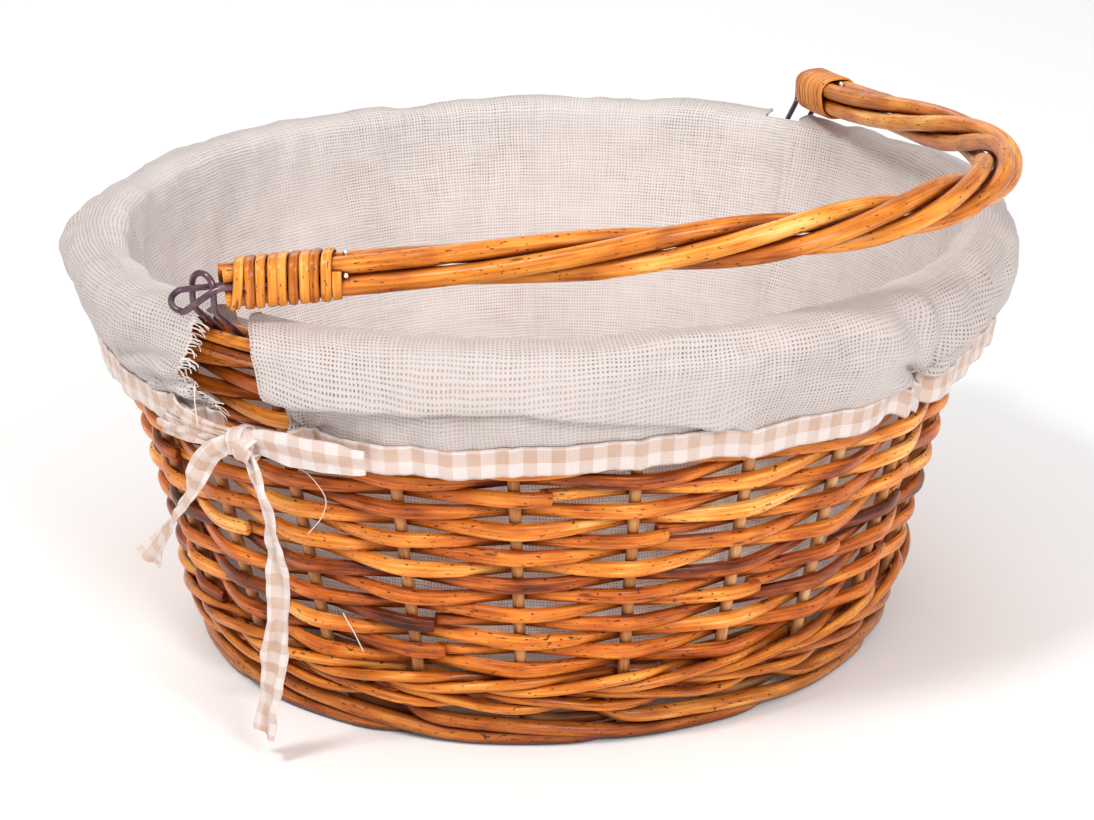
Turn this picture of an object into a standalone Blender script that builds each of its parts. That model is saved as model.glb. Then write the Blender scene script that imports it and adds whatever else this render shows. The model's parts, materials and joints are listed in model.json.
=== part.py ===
"""Lined willow bread basket with a folding handle.

Metres, +Z up. The basket stands on z = 0. The handle's hinge axis runs along X through the two
rim loops, and the handle is folded down over the -Y side. The origin lies under the middle of
the whole object, handle included, so the basket's own centre is BASKET_CENTRE_Y behind it. The
build functions work from the basket's centre. Plan shapes are circles stretched along X by
OVAL. Angles in the plan are in degrees from +X.
"""

import math

import bmesh
import bpy
from mathutils import Matrix, Vector

MM = 0.001
GAP = 0.3 * MM
# Room a rod needs beside the rods it bends round, where its path cuts the corner
BEND_ROOM = {"wale": 0.5 * MM, "siding": 0.7 * MM, "base": 0.35 * MM}

# Driving dimensions
OVAL = 1.061
BASKET_CENTRE_Y = 4.1 * MM
STAKE_COUNT = 24
STAKE_PHASE = 5.0
STAKE_STEP = 360.0 / STAKE_COUNT
STAKE_DIAMETER = 4.6 * MM
STAKE_BASE_RADIUS = 138.2 * MM
WALL_FLARE = 0.2304
STAKE_TOP = 165.8 * MM

FOOT_ROD_DIAMETER = 6.4 * MM
FOOT_RADIUS = 140.8 * MM
FOOT_ROD_SIDES = 6
STAKE_BENDS = (30 * MM, 20 * MM, 14 * MM, 7.5 * MM)
WALE_ROD_DIAMETER = 4.5 * MM
WALE_HEIGHT = 24.2 * MM
WALE_CLIMB = 6.0 * MM

WEAVER_RODS = 10
WEAVER_ROW_PITCH = 6.25 * MM
WEAVER_HEIGHT = 5.7 * MM
WEAVER_THICKNESS = 3.3 * MM
FIRST_ROW = 36.0 * MM

RIM_ROD_DIAMETER = 5.4 * MM
RIM_HEIGHT = 164.8 * MM

BASE_HEIGHT = 19.5 * MM
BASE_STICK_DIAMETER = 5.0 * MM
BASE_STICK_REACH = 130.0 * MM
BASE_CROSS_RADIUS = 24.0 * MM
BASE_FAN_RADIUS = 52.0 * MM
BASE_SPOKES = 12
BASE_WEAVER_DIAMETER = 4.0 * MM
BASE_WEAVER_START = 56.0 * MM
BASE_WEAVER_TURNS = 5
BASE_WEAVER_SPACE = 2.4 * MM

LINER_THICKNESS = 1.4 * MM
LINER_OFFSET = 9.6 * MM
LINER_FLOOR = 28.5 * MM
LINER_STEPS = 36
SLOT_HALF_WIDTH = 17.0 * MM
CUFF_STEPS = 20

# Cross-sections of the cuff and of its trim, as radius and height in millimetres
CUFF_PROFILE = ((166.3, 166.4), (167.4, 171.0), (171.8, 174.5), (178.5, 175.3), (184.8, 173.2),
                (188.4, 168.8), (189.3, 163.0), (187.3, 154.0), (182.6, 143.0), (178.7, 135.6))
TRIM_PROFILE = ((178.4, 134.8), (176.6, 125.2))

# The bow on the +X side, in millimetres. Its knot hangs just outside the trim, beside the slot
BOW_STRIP = (10.0 * MM, 2.4 * MM)
KNOT_PLACE = (195, 14, 130)
KNOT_RADII = (4.6, 8.0, 7.0)
BOW_PATHS = (
    ((195, 14, 130), (195, 22, 112), (195, 30, 95), (194, 26, 70), (194, 14, 18)),
    ((195, 14, 131), (195, 0, 122), (194, -20, 104), (190, -42, 80)),
    ((195, 14, 131), (194, 30, 133), (189, 52, 136)),
)

PIVOT_SPAN = 201.0 * MM
PIVOT_HEIGHT = 187.0 * MM
WIRE_DIAMETER = 2.4 * MM
RIM_LOOP_RADIUS = 5.2 * MM
# A leg of the rim loop on the +X side, as X and Z in millimetres, from under the outer rim rod
RIM_LOOP_LEG = ((193.5, 159.4), (188.4, 160.2), (186.9, 163.6), (188.4, 167.2), (201.0, 178.8))

HANDLE_TILT = 6.5
HANDLE_END_ANGLE = 46.0
HANDLE_REACH = 191.5 * MM
HANDLE_LEG_PULL = 107.0 * MM
HANDLE_APEX_PULL = 101.0 * MM
HANDLE_ROD_DIAMETER = 7.0 * MM
HANDLE_ROD_OFFSET = 5.2 * MM
HANDLE_TURNS = 2.0
HANDLE_SAMPLES = 44
ROD_END_SETBACK = 6.2 * MM
WRAP_START = 11.0 * MM
WRAP_TURNS = 9
WRAP_PITCH = 3.9 * MM
WRAP_STRIP = (3.4 * MM, 1.0 * MM)
WRAP_SAMPLES = 12
EYE_REACH = 11.5 * MM
EYE_WIDTH = 9.6 * MM
EYE_ROLL = -40.0
EYE_GROOVE = 7.3 * MM
EYE_BURIED = 30.0 * MM
BEND_STEPS = 6
PIN_DIAMETER = 1.6 * MM
PIN_REACH = (9.2 * MM, 6.4 * MM)
PIN_BESIDE_WRAP = 5.5 * MM

COLOURS = {
    "buff_willow": ((0.62, 0.33, 0.12), 0.45),
    "dark_willow": ((0.30, 0.13, 0.05), 0.45),
    "pale_willow": ((0.72, 0.45, 0.18), 0.45),
    "stake_willow": ((0.60, 0.38, 0.20), 0.5),
    "linen": ((0.80, 0.72, 0.68), 0.95),
    "gingham": ((0.84, 0.70, 0.62), 0.95),
    "coated_wire": ((0.16, 0.08, 0.10), 0.35),
    "steel_pin": ((0.75, 0.74, 0.72), 0.3),
}


# ---------------------------------------------------------------- scene and materials

def clear_scene():
    for obj in list(bpy.data.objects):
        bpy.data.objects.remove(obj)


def make_collection(name):
    collection = bpy.data.collections.new(name)
    bpy.context.scene.collection.children.link(collection)
    return collection


def make_material(name):
    colour, roughness = COLOURS[name]
    material = bpy.data.materials.new(name)
    material.use_nodes = True
    shader = material.node_tree.nodes["Principled BSDF"]
    shader.inputs["Base Color"].default_value = (*colour, 1.0)
    shader.inputs["Roughness"].default_value = roughness
    shader.inputs["Metallic"].default_value = 1.0 if name == "steel_pin" else 0.0
    return material


clear_scene()
BASKET = make_collection("bread_basket")
HELPERS = make_collection("helpers")
MATERIALS = {name: make_material(name) for name in COLOURS}


def make_empty(name, location, parent=None):
    empty = bpy.data.objects.new(name, None)
    HELPERS.objects.link(empty)
    empty.location = location
    empty.parent = parent
    return empty


CENTRE = make_empty("basket_centre", (0, BASKET_CENTRE_Y, 0))


def add_object(name, data, material, parent=CENTRE):
    obj = bpy.data.objects.new(name, data)
    BASKET.objects.link(obj)
    data.materials.append(MATERIALS[material])
    obj.parent = parent
    return obj


# ---------------------------------------------------------------- shared geometry

def stake_radius(height):
    """Radius of the circle of stake centres, before it is stretched along X."""
    return STAKE_BASE_RADIUS + WALL_FLARE * height


def on_oval(radius, degrees, height):
    angle = math.radians(degrees)
    return Vector((OVAL * radius * math.cos(angle), radius * math.sin(angle), height))


def stake_angle(index):
    return STAKE_PHASE + STAKE_STEP * index


def rod(name, points, diameter, material, closed=False, parent=CENTRE):
    """A round rod or wire along a polyline."""
    curve = bpy.data.curves.new(name, "CURVE")
    curve.dimensions = "3D"
    curve.bevel_depth = diameter / 2
    curve.bevel_resolution = 1
    curve.use_fill_caps = not closed
    spline = curve.splines.new("POLY")
    spline.points.add(len(points) - 1)
    for point, place in zip(spline.points, points):
        point.co = (*place, 1.0)
    spline.use_cyclic_u = closed
    spline.use_smooth = True
    return add_object(name, curve, material, parent)


def rectangle_profile(name, width, height):
    """A guide curve used as the cross-section of a split rod."""
    curve = bpy.data.curves.new(name, "CURVE")
    curve.dimensions = "2D"
    spline = curve.splines.new("POLY")
    spline.points.add(3)
    corners = ((-1, 1), (1, 1), (1, -1), (-1, -1))
    for point, (across, up) in zip(spline.points, corners):
        point.co = (across * width / 2, up * height / 2, 0.0, 1.0)
    spline.use_cyclic_u = True
    guide = bpy.data.objects.new(name, curve)
    HELPERS.objects.link(guide)
    guide.hide_render = True
    guide.display_type = "WIRE"
    return guide


def mesh_object(name, vertices, faces, material, parent=CENTRE):
    mesh = bpy.data.meshes.new(name)
    mesh.from_pydata([tuple(vertex) for vertex in vertices], [], faces)
    shape = bmesh.new()
    shape.from_mesh(mesh)
    bmesh.ops.recalc_face_normals(shape, faces=shape.faces)
    shape.to_mesh(mesh)
    shape.free()
    mesh.shade_smooth()
    return add_object(name, mesh, material, parent)


def swept_strip(name, sections, material, parent=CENTRE):
    """A strip whose cross-section, a loop of points, changes direction along its length."""
    sides = len(sections[0])
    vertices = [point for section in sections for point in section]
    faces = []
    for ring in range(len(sections) - 1):
        for side in range(sides):
            after = (side + 1) % sides
            low, high = ring * sides, (ring + 1) * sides
            faces.append((low + side, low + after, high + after, high + side))
    faces.append(tuple(range(sides)))
    faces.append(tuple(range(len(vertices) - sides, len(vertices))))
    return mesh_object(name, vertices, faces, material, parent)


def fabric_shell(name, profile, angles, material, closed):
    """Cloth of even thickness swept round the oval. The profile is (radius, height) pairs."""
    vertices = [on_oval(radius, angle, height) for angle in angles for radius, height in profile]
    count, across = len(profile), len(angles)
    faces = []
    for column in range(across if closed else across - 1):
        following = (column + 1) % across
        for row in range(count - 1):
            faces.append((column * count + row, following * count + row,
                          following * count + row + 1, column * count + row + 1))
    obj = mesh_object(name, vertices, faces, material)
    shell = obj.modifiers.new("thickness", "SOLIDIFY")
    shell.thickness = LINER_THICKNESS
    shell.offset = 0.0
    shell.use_even_offset = True
    return obj


# ---------------------------------------------------------------- willow basket

def build_stakes():
    """Twelve rods, each bent under the foot to make two neighbouring stakes."""
    foot_radius = FOOT_RADIUS - FOOT_ROD_DIAMETER / 2 - GAP - STAKE_DIAMETER / 2
    straight_end, lean, bend, low = STAKE_BENDS
    heights = (STAKE_TOP, straight_end, lean)
    for pair in range(STAKE_COUNT // 2):
        first, second = stake_angle(2 * pair), stake_angle(2 * pair + 1)
        down = [on_oval(stake_radius(height), first, height) for height in heights]
        up = [on_oval(stake_radius(height), second, height) for height in reversed(heights)]
        bottom = [on_oval(foot_radius, angle, height)
                  for angle, height in ((first, bend), (first, low), (second, low), (second, bend))]
        rod(f"stake_pair_{pair + 1:02d}", down + bottom + up, STAKE_DIAMETER, "stake_willow")


def build_foot():
    """Two thick rods laid round the bottom, with flat sides down to stand on."""
    half = FOOT_ROD_DIAMETER / 2
    sides = FOOT_ROD_SIDES
    rise = half * math.cos(math.pi / sides)
    for name, height in (("foot_rod_lower", rise), ("foot_rod_upper", 3 * rise + GAP)):
        sections = []
        for index in range(STAKE_COUNT):
            centre = on_oval(FOOT_RADIUS, stake_angle(index), height)
            outward = (on_oval(1.0, stake_angle(index), 0.0)).normalized()
            ring = []
            for side in range(sides):
                turn = math.tau * side / sides
                ring.append(centre + outward * half * math.cos(turn)
                            + Vector((0, 0, half * math.sin(turn))))
            sections.append(ring)
        vertices = [point for section in sections for point in section]
        faces = []
        for index in range(STAKE_COUNT):
            low, high = index * sides, ((index + 1) % STAKE_COUNT) * sides
            for side in range(sides):
                after = (side + 1) % sides
                faces.append((low + side, low + after, high + after, high + side))
        mesh_object(name, vertices, faces, "dark_willow")


def build_wale():
    """Three thin rods twined round the stakes: outside two stakes, then behind one."""
    lift = STAKE_DIAMETER / 2 + WALE_ROD_DIAMETER / 2 + GAP + BEND_ROOM["wale"]
    pattern = ((lift, WALE_CLIMB), (lift, -WALE_CLIMB), (-lift, 0.0))
    for strand in range(3):
        points = []
        for index in range(STAKE_COUNT):
            offset, climb = pattern[(index + strand) % 3]
            height = WALE_HEIGHT + climb
            points.append(on_oval(stake_radius(height) + offset, stake_angle(index), height))
        rod(f"wale_rod_{strand + 1}", points, WALE_ROD_DIAMETER, "pale_willow", closed=True)


def build_siding():
    """Split rods woven in front of one stake and behind the next, two rows to a rod."""
    profile = rectangle_profile("weaver_section", WEAVER_THICKNESS, WEAVER_HEIGHT)
    lift = STAKE_DIAMETER / 2 + WEAVER_THICKNESS / 2 + GAP + BEND_ROOM["siding"]
    step_over = STAKE_COUNT // 4
    for number in range(WEAVER_RODS):
        points = []
        for index in range(2 * STAKE_COUNT):
            row = 2 * number + index // STAKE_COUNT
            height = FIRST_ROW + row * WEAVER_ROW_PITCH
            side = lift if (index + row) % 2 == 0 else -lift
            angle = stake_angle(index + step_over)
            points.append(on_oval(stake_radius(height) + side, angle, height))
        curve = bpy.data.curves.new(f"siding_weaver_{number + 1:02d}", "CURVE")
        curve.dimensions = "3D"
        curve.twist_mode = "Z_UP"
        curve.bevel_mode = "OBJECT"
        curve.bevel_object = profile
        curve.use_fill_caps = True
        spline = curve.splines.new("POLY")
        spline.points.add(len(points) - 1)
        for point, place in zip(spline.points, points):
            point.co = (*place, 1.0)
        add_object(curve.name, curve, "buff_willow")


def build_rim():
    """Border rods that clasp the tips of the stakes from both sides."""
    lift = STAKE_DIAMETER / 2 + RIM_ROD_DIAMETER / 2 + GAP
    for name, side in (("rim_rod_outer", lift), ("rim_rod_inner", -lift)):
        points = [on_oval(stake_radius(RIM_HEIGHT) + side, stake_angle(index / 2), RIM_HEIGHT)
                  for index in range(2 * STAKE_COUNT)]
        rod(name, points, RIM_ROD_DIAMETER, "buff_willow", closed=True)


def build_base():
    """Six sticks crossed three over three and fanned out, with two rods spiralled through."""
    cross = BASE_STICK_DIAMETER / 2 + GAP / 2
    fan = math.tau / BASE_SPOKES
    for layer, heading in ((-1, 0.0), (1, 90.0)):
        for place in (-1, 0, 1):
            half = [(radius * math.cos(place * fan), radius * math.sin(place * fan), 0.0)
                    for radius in (BASE_STICK_REACH, BASE_FAN_RADIUS)]
            half.append((BASE_CROSS_RADIUS * math.cos(place * fan),
                         place * (BASE_STICK_DIAMETER + GAP), layer * cross))
            points = half + [(-length, across, height) for length, across, height in reversed(half)]
            turn = Matrix.Rotation(math.radians(heading), 3, "Z")
            placed = [turn @ Vector(point) + Vector((0, 0, BASE_HEIGHT)) for point in points]
            name = f"base_stick_{'lower' if layer < 0 else 'upper'}_{place + 2}"
            rod(name, placed, BASE_STICK_DIAMETER, "stake_willow")
    lift = BASE_STICK_DIAMETER / 2 + BASE_WEAVER_DIAMETER / 2 + GAP + BEND_ROOM["base"]
    pitch = 2 * (BASE_WEAVER_DIAMETER + BASE_WEAVER_SPACE)
    for strand in range(2):
        points = []
        for index in range(BASE_SPOKES * BASE_WEAVER_TURNS + 1):
            radius = BASE_WEAVER_START + pitch * (index / BASE_SPOKES + strand / 2)
            side = lift if (index + strand) % 2 == 0 else -lift
            angle = fan * index
            points.append(Vector((radius * math.cos(angle), radius * math.sin(angle),
                                  BASE_HEIGHT + side)))
        rod(f"base_weaver_{strand + 1}", points, BASE_WEAVER_DIAMETER, "stake_willow")


# ---------------------------------------------------------------- fabric

def liner_radius(height):
    return stake_radius(height) - LINER_OFFSET


def build_liner():
    wall = [(liner_radius(height), height) for height in (LINER_FLOOR + 1.2 * MM, 95 * MM, 165 * MM)]
    angles = [360 * index / LINER_STEPS for index in range(LINER_STEPS)]
    fabric_shell("liner_wall", wall, angles, "linen", closed=True)

    floor = bmesh.new()
    radius = liner_radius(LINER_FLOOR) - LINER_THICKNESS
    bmesh.ops.create_cone(floor, cap_ends=True, segments=LINER_STEPS, radius1=radius,
                          radius2=radius, depth=LINER_THICKNESS)
    bmesh.ops.scale(floor, vec=(OVAL, 1, 1), verts=floor.verts)
    mesh = bpy.data.meshes.new("liner_floor")
    floor.to_mesh(mesh)
    floor.free()
    add_object("liner_floor", mesh, "linen").location.z = LINER_FLOOR


def side_angles(side, steps, edge):
    """Angles that cover one long side of the rim, -1 for the -Y side, between the slots."""
    return [side * (edge + (180 - 2 * edge) * index / steps) for index in range(steps + 1)]


def build_cuffs():
    """The part of the liner that rolls over the rim, split in two by the loop slots."""
    edge = math.degrees(math.asin(SLOT_HALF_WIDTH / stake_radius(RIM_HEIGHT)))
    for name, side in (("front", -1), ("back", 1)):
        angles = side_angles(side, CUFF_STEPS, edge)
        for label, profile, cloth in (("liner_cuff", CUFF_PROFILE, "linen"),
                                      ("gingham_trim", TRIM_PROFILE, "gingham")):
            shape = [(radius * MM, height * MM) for radius, height in profile]
            fabric_shell(f"{label}_{name}", shape, angles, cloth, closed=False)


def build_bows():
    """A knotted bow over each slot: a strap, a loop and two hanging tails."""
    width, thickness = BOW_STRIP
    for name, heading in (("left", 180.0), ("right", 0.0)):
        turn = Matrix.Rotation(math.radians(heading), 4, "Z")
        pieces = []
        for path in BOW_PATHS:
            sections = []
            for index, place in enumerate(path):
                ahead = Vector(path[min(index + 1, len(path) - 1)])
                behind = Vector(path[max(index - 1, 0)])
                outward = Vector((1, 0, 0))
                across = outward.cross(ahead - behind).normalized()
                centre = Vector(place) * MM
                ring = [centre + across * width / 2 * a + outward * thickness / 2 * b
                        for a, b in ((-1, -1), (1, -1), (1, 1), (-1, 1))]
                sections.append([turn @ point for point in ring])
            pieces.append(swept_strip(f"bow_piece_{name}", sections, "gingham"))
        knot = bmesh.new()
        bmesh.ops.create_uvsphere(knot, u_segments=10, v_segments=6, radius=1.0)
        bmesh.ops.scale(knot, vec=Vector(KNOT_RADII) * MM, verts=knot.verts)
        bmesh.ops.translate(knot, vec=Vector(KNOT_PLACE) * MM, verts=knot.verts)
        bmesh.ops.transform(knot, matrix=turn, verts=knot.verts)
        mesh = bpy.data.meshes.new(f"tie_bow_{name}")
        knot.to_mesh(mesh)
        knot.free()
        bow = add_object(f"tie_bow_{name}", mesh, "gingham")
        for piece in pieces:
            BASKET.objects.unlink(piece)
            HELPERS.objects.link(piece)
            piece.hide_render = True
            piece.display_type = "WIRE"
            join = bow.modifiers.new("join", "BOOLEAN")
            join.operation = "UNION"
            join.solver = "EXACT"
            join.object = piece


# ---------------------------------------------------------------- handle

def handle_plane(along, out, above=0.0):
    """World point from handle coordinates: along the hinge, out to the apex, above the plane."""
    tilt = math.radians(HANDLE_TILT)
    return Vector((along,
                   -out * math.cos(tilt) + above * math.sin(tilt),
                   PIVOT_HEIGHT + out * math.sin(tilt) + above * math.cos(tilt)))


END_DIRECTION = Vector((math.cos(math.radians(HANDLE_END_ANGLE)),
                        math.sin(math.radians(HANDLE_END_ANGLE))))


def handle_centreline():
    """Points and unit tangents of the handle's middle line, in the handle's own plane."""
    start = Vector((-PIVOT_SPAN, 0)) + END_DIRECTION * ROD_END_SETBACK
    leg = start + END_DIRECTION * HANDLE_LEG_PULL
    apex = Vector((0, HANDLE_REACH))
    shoulder = Vector((-HANDLE_APEX_PULL, HANDLE_REACH))
    cage = (start, leg, shoulder, apex)
    points, tangents = [], []
    for index in range(HANDLE_SAMPLES + 1):
        place = 2 * index / HANDLE_SAMPLES
        t = place if place <= 1 else 2 - place
        s = 1 - t
        point = cage[0] * s**3 + cage[1] * 3 * s * s * t + cage[2] * 3 * s * t * t + cage[3] * t**3
        slope = (cage[1] - cage[0]) * s * s + (cage[2] - cage[1]) * 2 * s * t + (cage[3] - cage[2]) * t * t
        slope.normalize()
        mirrored = place > 1
        points.append(Vector((-point.x, point.y)) if mirrored else point)
        tangents.append(Vector((slope.x, -slope.y)) if mirrored else slope)
    return points, tangents


def lengths_along(points):
    total = [0.0]
    for before, after in zip(points, points[1:]):
        total.append(total[-1] + (after - before).length)
    return total


def build_handle(parent):
    points, tangents = handle_centreline()
    lengths = lengths_along(points)
    wrapped = WRAP_START + WRAP_TURNS * WRAP_PITCH
    for number in range(4):
        path = []
        for point, tangent, length in zip(points, tangents, lengths):
            free = (length - wrapped) / (lengths[-1] - 2 * wrapped)
            free = min(max(free, 0.0), 1.0)
            eased = free * free * (3 - 2 * free)
            turn = math.radians(45 + 90 * number + 360 * HANDLE_TURNS * eased)
            normal = Vector((-tangent.y, tangent.x))
            place = point + normal * HANDLE_ROD_OFFSET * math.cos(turn)
            path.append(handle_plane(place.x, place.y, HANDLE_ROD_OFFSET * math.sin(turn)))
        rod(f"handle_rod_{number + 1}", path, HANDLE_ROD_DIAMETER, "pale_willow", parent=parent)


def end_frame(side):
    """Origin at the pivot, unit vectors along the end of the handle, outwards, and above."""
    pivot = handle_plane(side * PIVOT_SPAN, 0.0)
    along = handle_plane(side * (PIVOT_SPAN - END_DIRECTION.x), END_DIRECTION.y) - pivot
    above = handle_plane(side * PIVOT_SPAN, 0.0, 1.0) - pivot
    outward = above.cross(along) * side
    return pivot, along.normalized(), outward.normalized(), above.normalized()


def centreline_at(side, distance):
    """Place on the handle's middle line at a distance from the rods' cut ends, with its frame."""
    points, tangents = handle_centreline()
    lengths = lengths_along(points)
    index = max(i for i in range(len(lengths) - 1) if lengths[i] <= distance)
    share = (distance - lengths[index]) / (lengths[index + 1] - lengths[index])
    point = points[index].lerp(points[index + 1], share)
    tangent = tangents[index].lerp(tangents[index + 1], share).normalized()
    centre = handle_plane(-side * point.x, point.y)
    along = handle_plane(-side * (point.x + tangent.x), point.y + tangent.y) - centre
    above = handle_plane(-side * point.x, point.y, 1.0) - centre
    return centre, above.cross(along).normalized() * side, above


def build_wraps(parent):
    """A split-willow strip wound round each end of the bundle of rods."""
    width, thickness = WRAP_STRIP
    inner = HANDLE_ROD_OFFSET + HANDLE_ROD_DIAMETER / 2 + GAP
    samples = WRAP_SAMPLES
    first = WRAP_START - ROD_END_SETBACK
    for name, side in (("left", -1), ("right", 1)):
        sections = []
        for index in range(WRAP_TURNS * samples + 1):
            turns = index / samples
            angle = math.tau * turns
            ring = []
            for shift, depth in ((0, 0), (width, 0), (width, thickness), (0, thickness)):
                centre, outward, above = centreline_at(side, first + WRAP_PITCH * turns + shift)
                radial = outward * math.cos(angle) + above * math.sin(angle)
                ring.append(centre + radial * (inner + depth) / math.cos(math.pi / samples))
            sections.append(ring)
        swept_strip(f"handle_wrap_{name}", sections, "pale_willow", parent)


def build_eyes(parent):
    """A wire hairpin in each end of the handle, threaded through the rim loop.

    One leg is buried between the four rods and the other in the groove on their outer side. The
    bend between them is rolled a little under the handle.
    """
    bend = EYE_WIDTH / 2
    roll = math.radians(EYE_ROLL)
    for name, side in (("left", -1), ("right", 1)):
        pivot, along, outward, above = end_frame(side)
        outer_leg = []
        for distance in (EYE_BURIED, WRAP_START):
            centre, sideways, _ = centreline_at(side, distance - ROD_END_SETBACK)
            outer_leg.append(centre + sideways * EYE_GROOVE)
        outer_leg.append(pivot + along * (ROD_END_SETBACK - 1.2 * MM) + outward * EYE_GROOVE)
        core = [centreline_at(side, EYE_BURIED - ROD_END_SETBACK)[0], pivot + along * ROD_END_SETBACK]
        leaning = outward * math.cos(roll) + above * math.sin(roll)
        nose_centre = pivot - along * (EYE_REACH - bend) + leaning * bend
        nose = []
        for step in range(BEND_STEPS + 1):
            turn = math.pi * step / BEND_STEPS
            nose.append(nose_centre - along * bend * math.sin(turn) + leaning * bend * math.cos(turn))
        rod(f"handle_eye_{name}", outer_leg + nose + list(reversed(core)), WIRE_DIAMETER,
            "coated_wire", parent=parent)


def build_wrap_pins(parent):
    """A small pin that holds the free end of each wrap in the groove between two rods."""
    for name, side in (("left", -1), ("right", 1)):
        last = WRAP_START - ROD_END_SETBACK + WRAP_TURNS * WRAP_PITCH + PIN_BESIDE_WRAP
        centre, _, above = centreline_at(side, last)
        path = [centre + above * reach for reach in PIN_REACH]
        rod(f"wrap_pin_{name}", path, PIN_DIAMETER, "steel_pin", parent=parent)


def build_rim_loops():
    """A wire staple at each end of the hinge axis, hooked under the outer rim rod."""
    for name, side in (("left", -1), ("right", 1)):
        half = [Vector((across * MM, RIM_LOOP_RADIUS, height * MM)) for across, height in RIM_LOOP_LEG]
        arch = []
        for step in range(BEND_STEPS + 1):
            turn = math.pi * step / BEND_STEPS
            arch.append(Vector((PIVOT_SPAN, RIM_LOOP_RADIUS * math.cos(turn),
                                PIVOT_HEIGHT + RIM_LOOP_RADIUS * math.sin(turn))))
        far = [Vector((point.x, -point.y, point.z)) for point in reversed(half)]
        turned = Matrix.Rotation(0.0 if side > 0 else math.pi, 3, "Z")
        path = [turned @ point for point in half + arch + far]
        rod(f"rim_loop_{name}", path, WIRE_DIAMETER, "coated_wire")


# ---------------------------------------------------------------- assembly

def build():
    build_stakes()
    build_foot()
    build_wale()
    build_siding()
    build_rim()
    build_base()
    build_liner()
    build_cuffs()
    build_bows()
    build_rim_loops()
    hinge = make_empty("handle_hinge", (0, 0, PIVOT_HEIGHT), CENTRE)
    build_handle(hinge)
    build_wraps(hinge)
    build_eyes(hinge)
    build_wrap_pins(hinge)
    from_centre = Matrix.Translation(-hinge.location)
    for child in hinge.children:
        child.matrix_parent_inverse = from_centre


build()
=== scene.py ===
"""The looks of a lined willow bread basket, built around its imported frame.

Lengths are in millimetres and angles in degrees, until a mesh is made. Shapes are worked out
from the basket's own centre, which the frame's hinge gives. Plan angles start at +X and turn
towards +Y, and the plan is a circle stretched along X by OVAL.
"""

import json
import math
import random

import bpy
import numpy as np
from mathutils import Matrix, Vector, noise


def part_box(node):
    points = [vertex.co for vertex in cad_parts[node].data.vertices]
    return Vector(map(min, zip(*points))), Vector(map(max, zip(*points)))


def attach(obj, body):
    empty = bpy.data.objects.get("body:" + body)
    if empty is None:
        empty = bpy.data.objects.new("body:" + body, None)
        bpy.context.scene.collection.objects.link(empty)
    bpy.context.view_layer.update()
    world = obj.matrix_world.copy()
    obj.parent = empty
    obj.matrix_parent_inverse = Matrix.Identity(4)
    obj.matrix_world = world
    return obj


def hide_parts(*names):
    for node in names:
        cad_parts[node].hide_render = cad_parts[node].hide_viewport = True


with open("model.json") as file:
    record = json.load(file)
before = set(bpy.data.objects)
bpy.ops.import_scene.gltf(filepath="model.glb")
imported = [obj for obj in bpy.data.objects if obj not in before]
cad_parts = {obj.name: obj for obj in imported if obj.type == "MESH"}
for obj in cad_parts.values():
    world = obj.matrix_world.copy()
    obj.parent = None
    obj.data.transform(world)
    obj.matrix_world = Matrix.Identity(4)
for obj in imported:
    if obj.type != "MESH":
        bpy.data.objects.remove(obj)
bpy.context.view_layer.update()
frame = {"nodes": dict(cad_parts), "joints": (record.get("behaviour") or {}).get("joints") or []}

MM = 0.001
SEED = 7
SIDES = (("left", -1), ("right", 1))
UP = np.array([0.0, 0.0, 1.0])
random.seed(SEED)

# ---------------------------------------------------------------- sizes from the frame


def node_box(node):
    low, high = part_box(node)
    return np.array(low) / MM - CENTRE, np.array(high) / MM - CENTRE


HINGE = frame["joints"][0]
CENTRE = np.array([0.0, HINGE["pos_m"][1] / MM, 0.0])
PIVOT_HEIGHT = HINGE["pos_m"][2] / MM
WIRE = 2.4
RIM_LOOP_RADIUS = node_box("rim_loop_right")[1][1] - WIRE / 2
PIVOT_SPAN = node_box("rim_loop_right")[1][0] - WIRE / 2
FOOT_ROD = 6.4
FOOT_HALF = node_box("foot_rod_lower")[1] - FOOT_ROD / 2
OVAL = FOOT_HALF[0] / FOOT_HALF[1]
FOOT_RADIUS = FOOT_HALF[1] + 0.5
HANDLE_ROD = 7.0
HANDLE_OFFSET = 5.2

# The wall of stakes, as in the frame
STAKES = 24
STEP = 360.0 / STAKES
PHASE = 5.0
STAKE = 4.6
WALL_BASE = 138.2
WALL_FLARE = 0.2304
STAKE_TOP = 165.8
ROWS = 20
FIRST_ROW = 36.0
ROW_PITCH = 6.25
LINER_INSET = 9.6
LINER_FLOOR = 29.0


def wall_radius(height):
    return WALL_BASE + WALL_FLARE * height


def stake_angle(index):
    return PHASE + STEP * index


def oval(radius, degrees, height):
    """Points on the stretched circle."""
    turn = np.radians(degrees)
    parts = np.broadcast_arrays(OVAL * radius * np.cos(turn), radius * np.sin(turn), height)
    return np.stack(parts, axis=-1).astype(float)


def outward_at(degrees):
    """Unit vectors square to the wall."""
    turn = np.radians(degrees)
    flare = np.full(np.shape(turn), -WALL_FLARE)
    return unit(np.stack([np.cos(turn) / OVAL, np.sin(turn), flare], axis=-1))


def unit(vectors):
    return vectors / np.maximum(np.linalg.norm(vectors, axis=-1, keepdims=True), 1e-9)


# ---------------------------------------------------------------- materials


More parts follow.
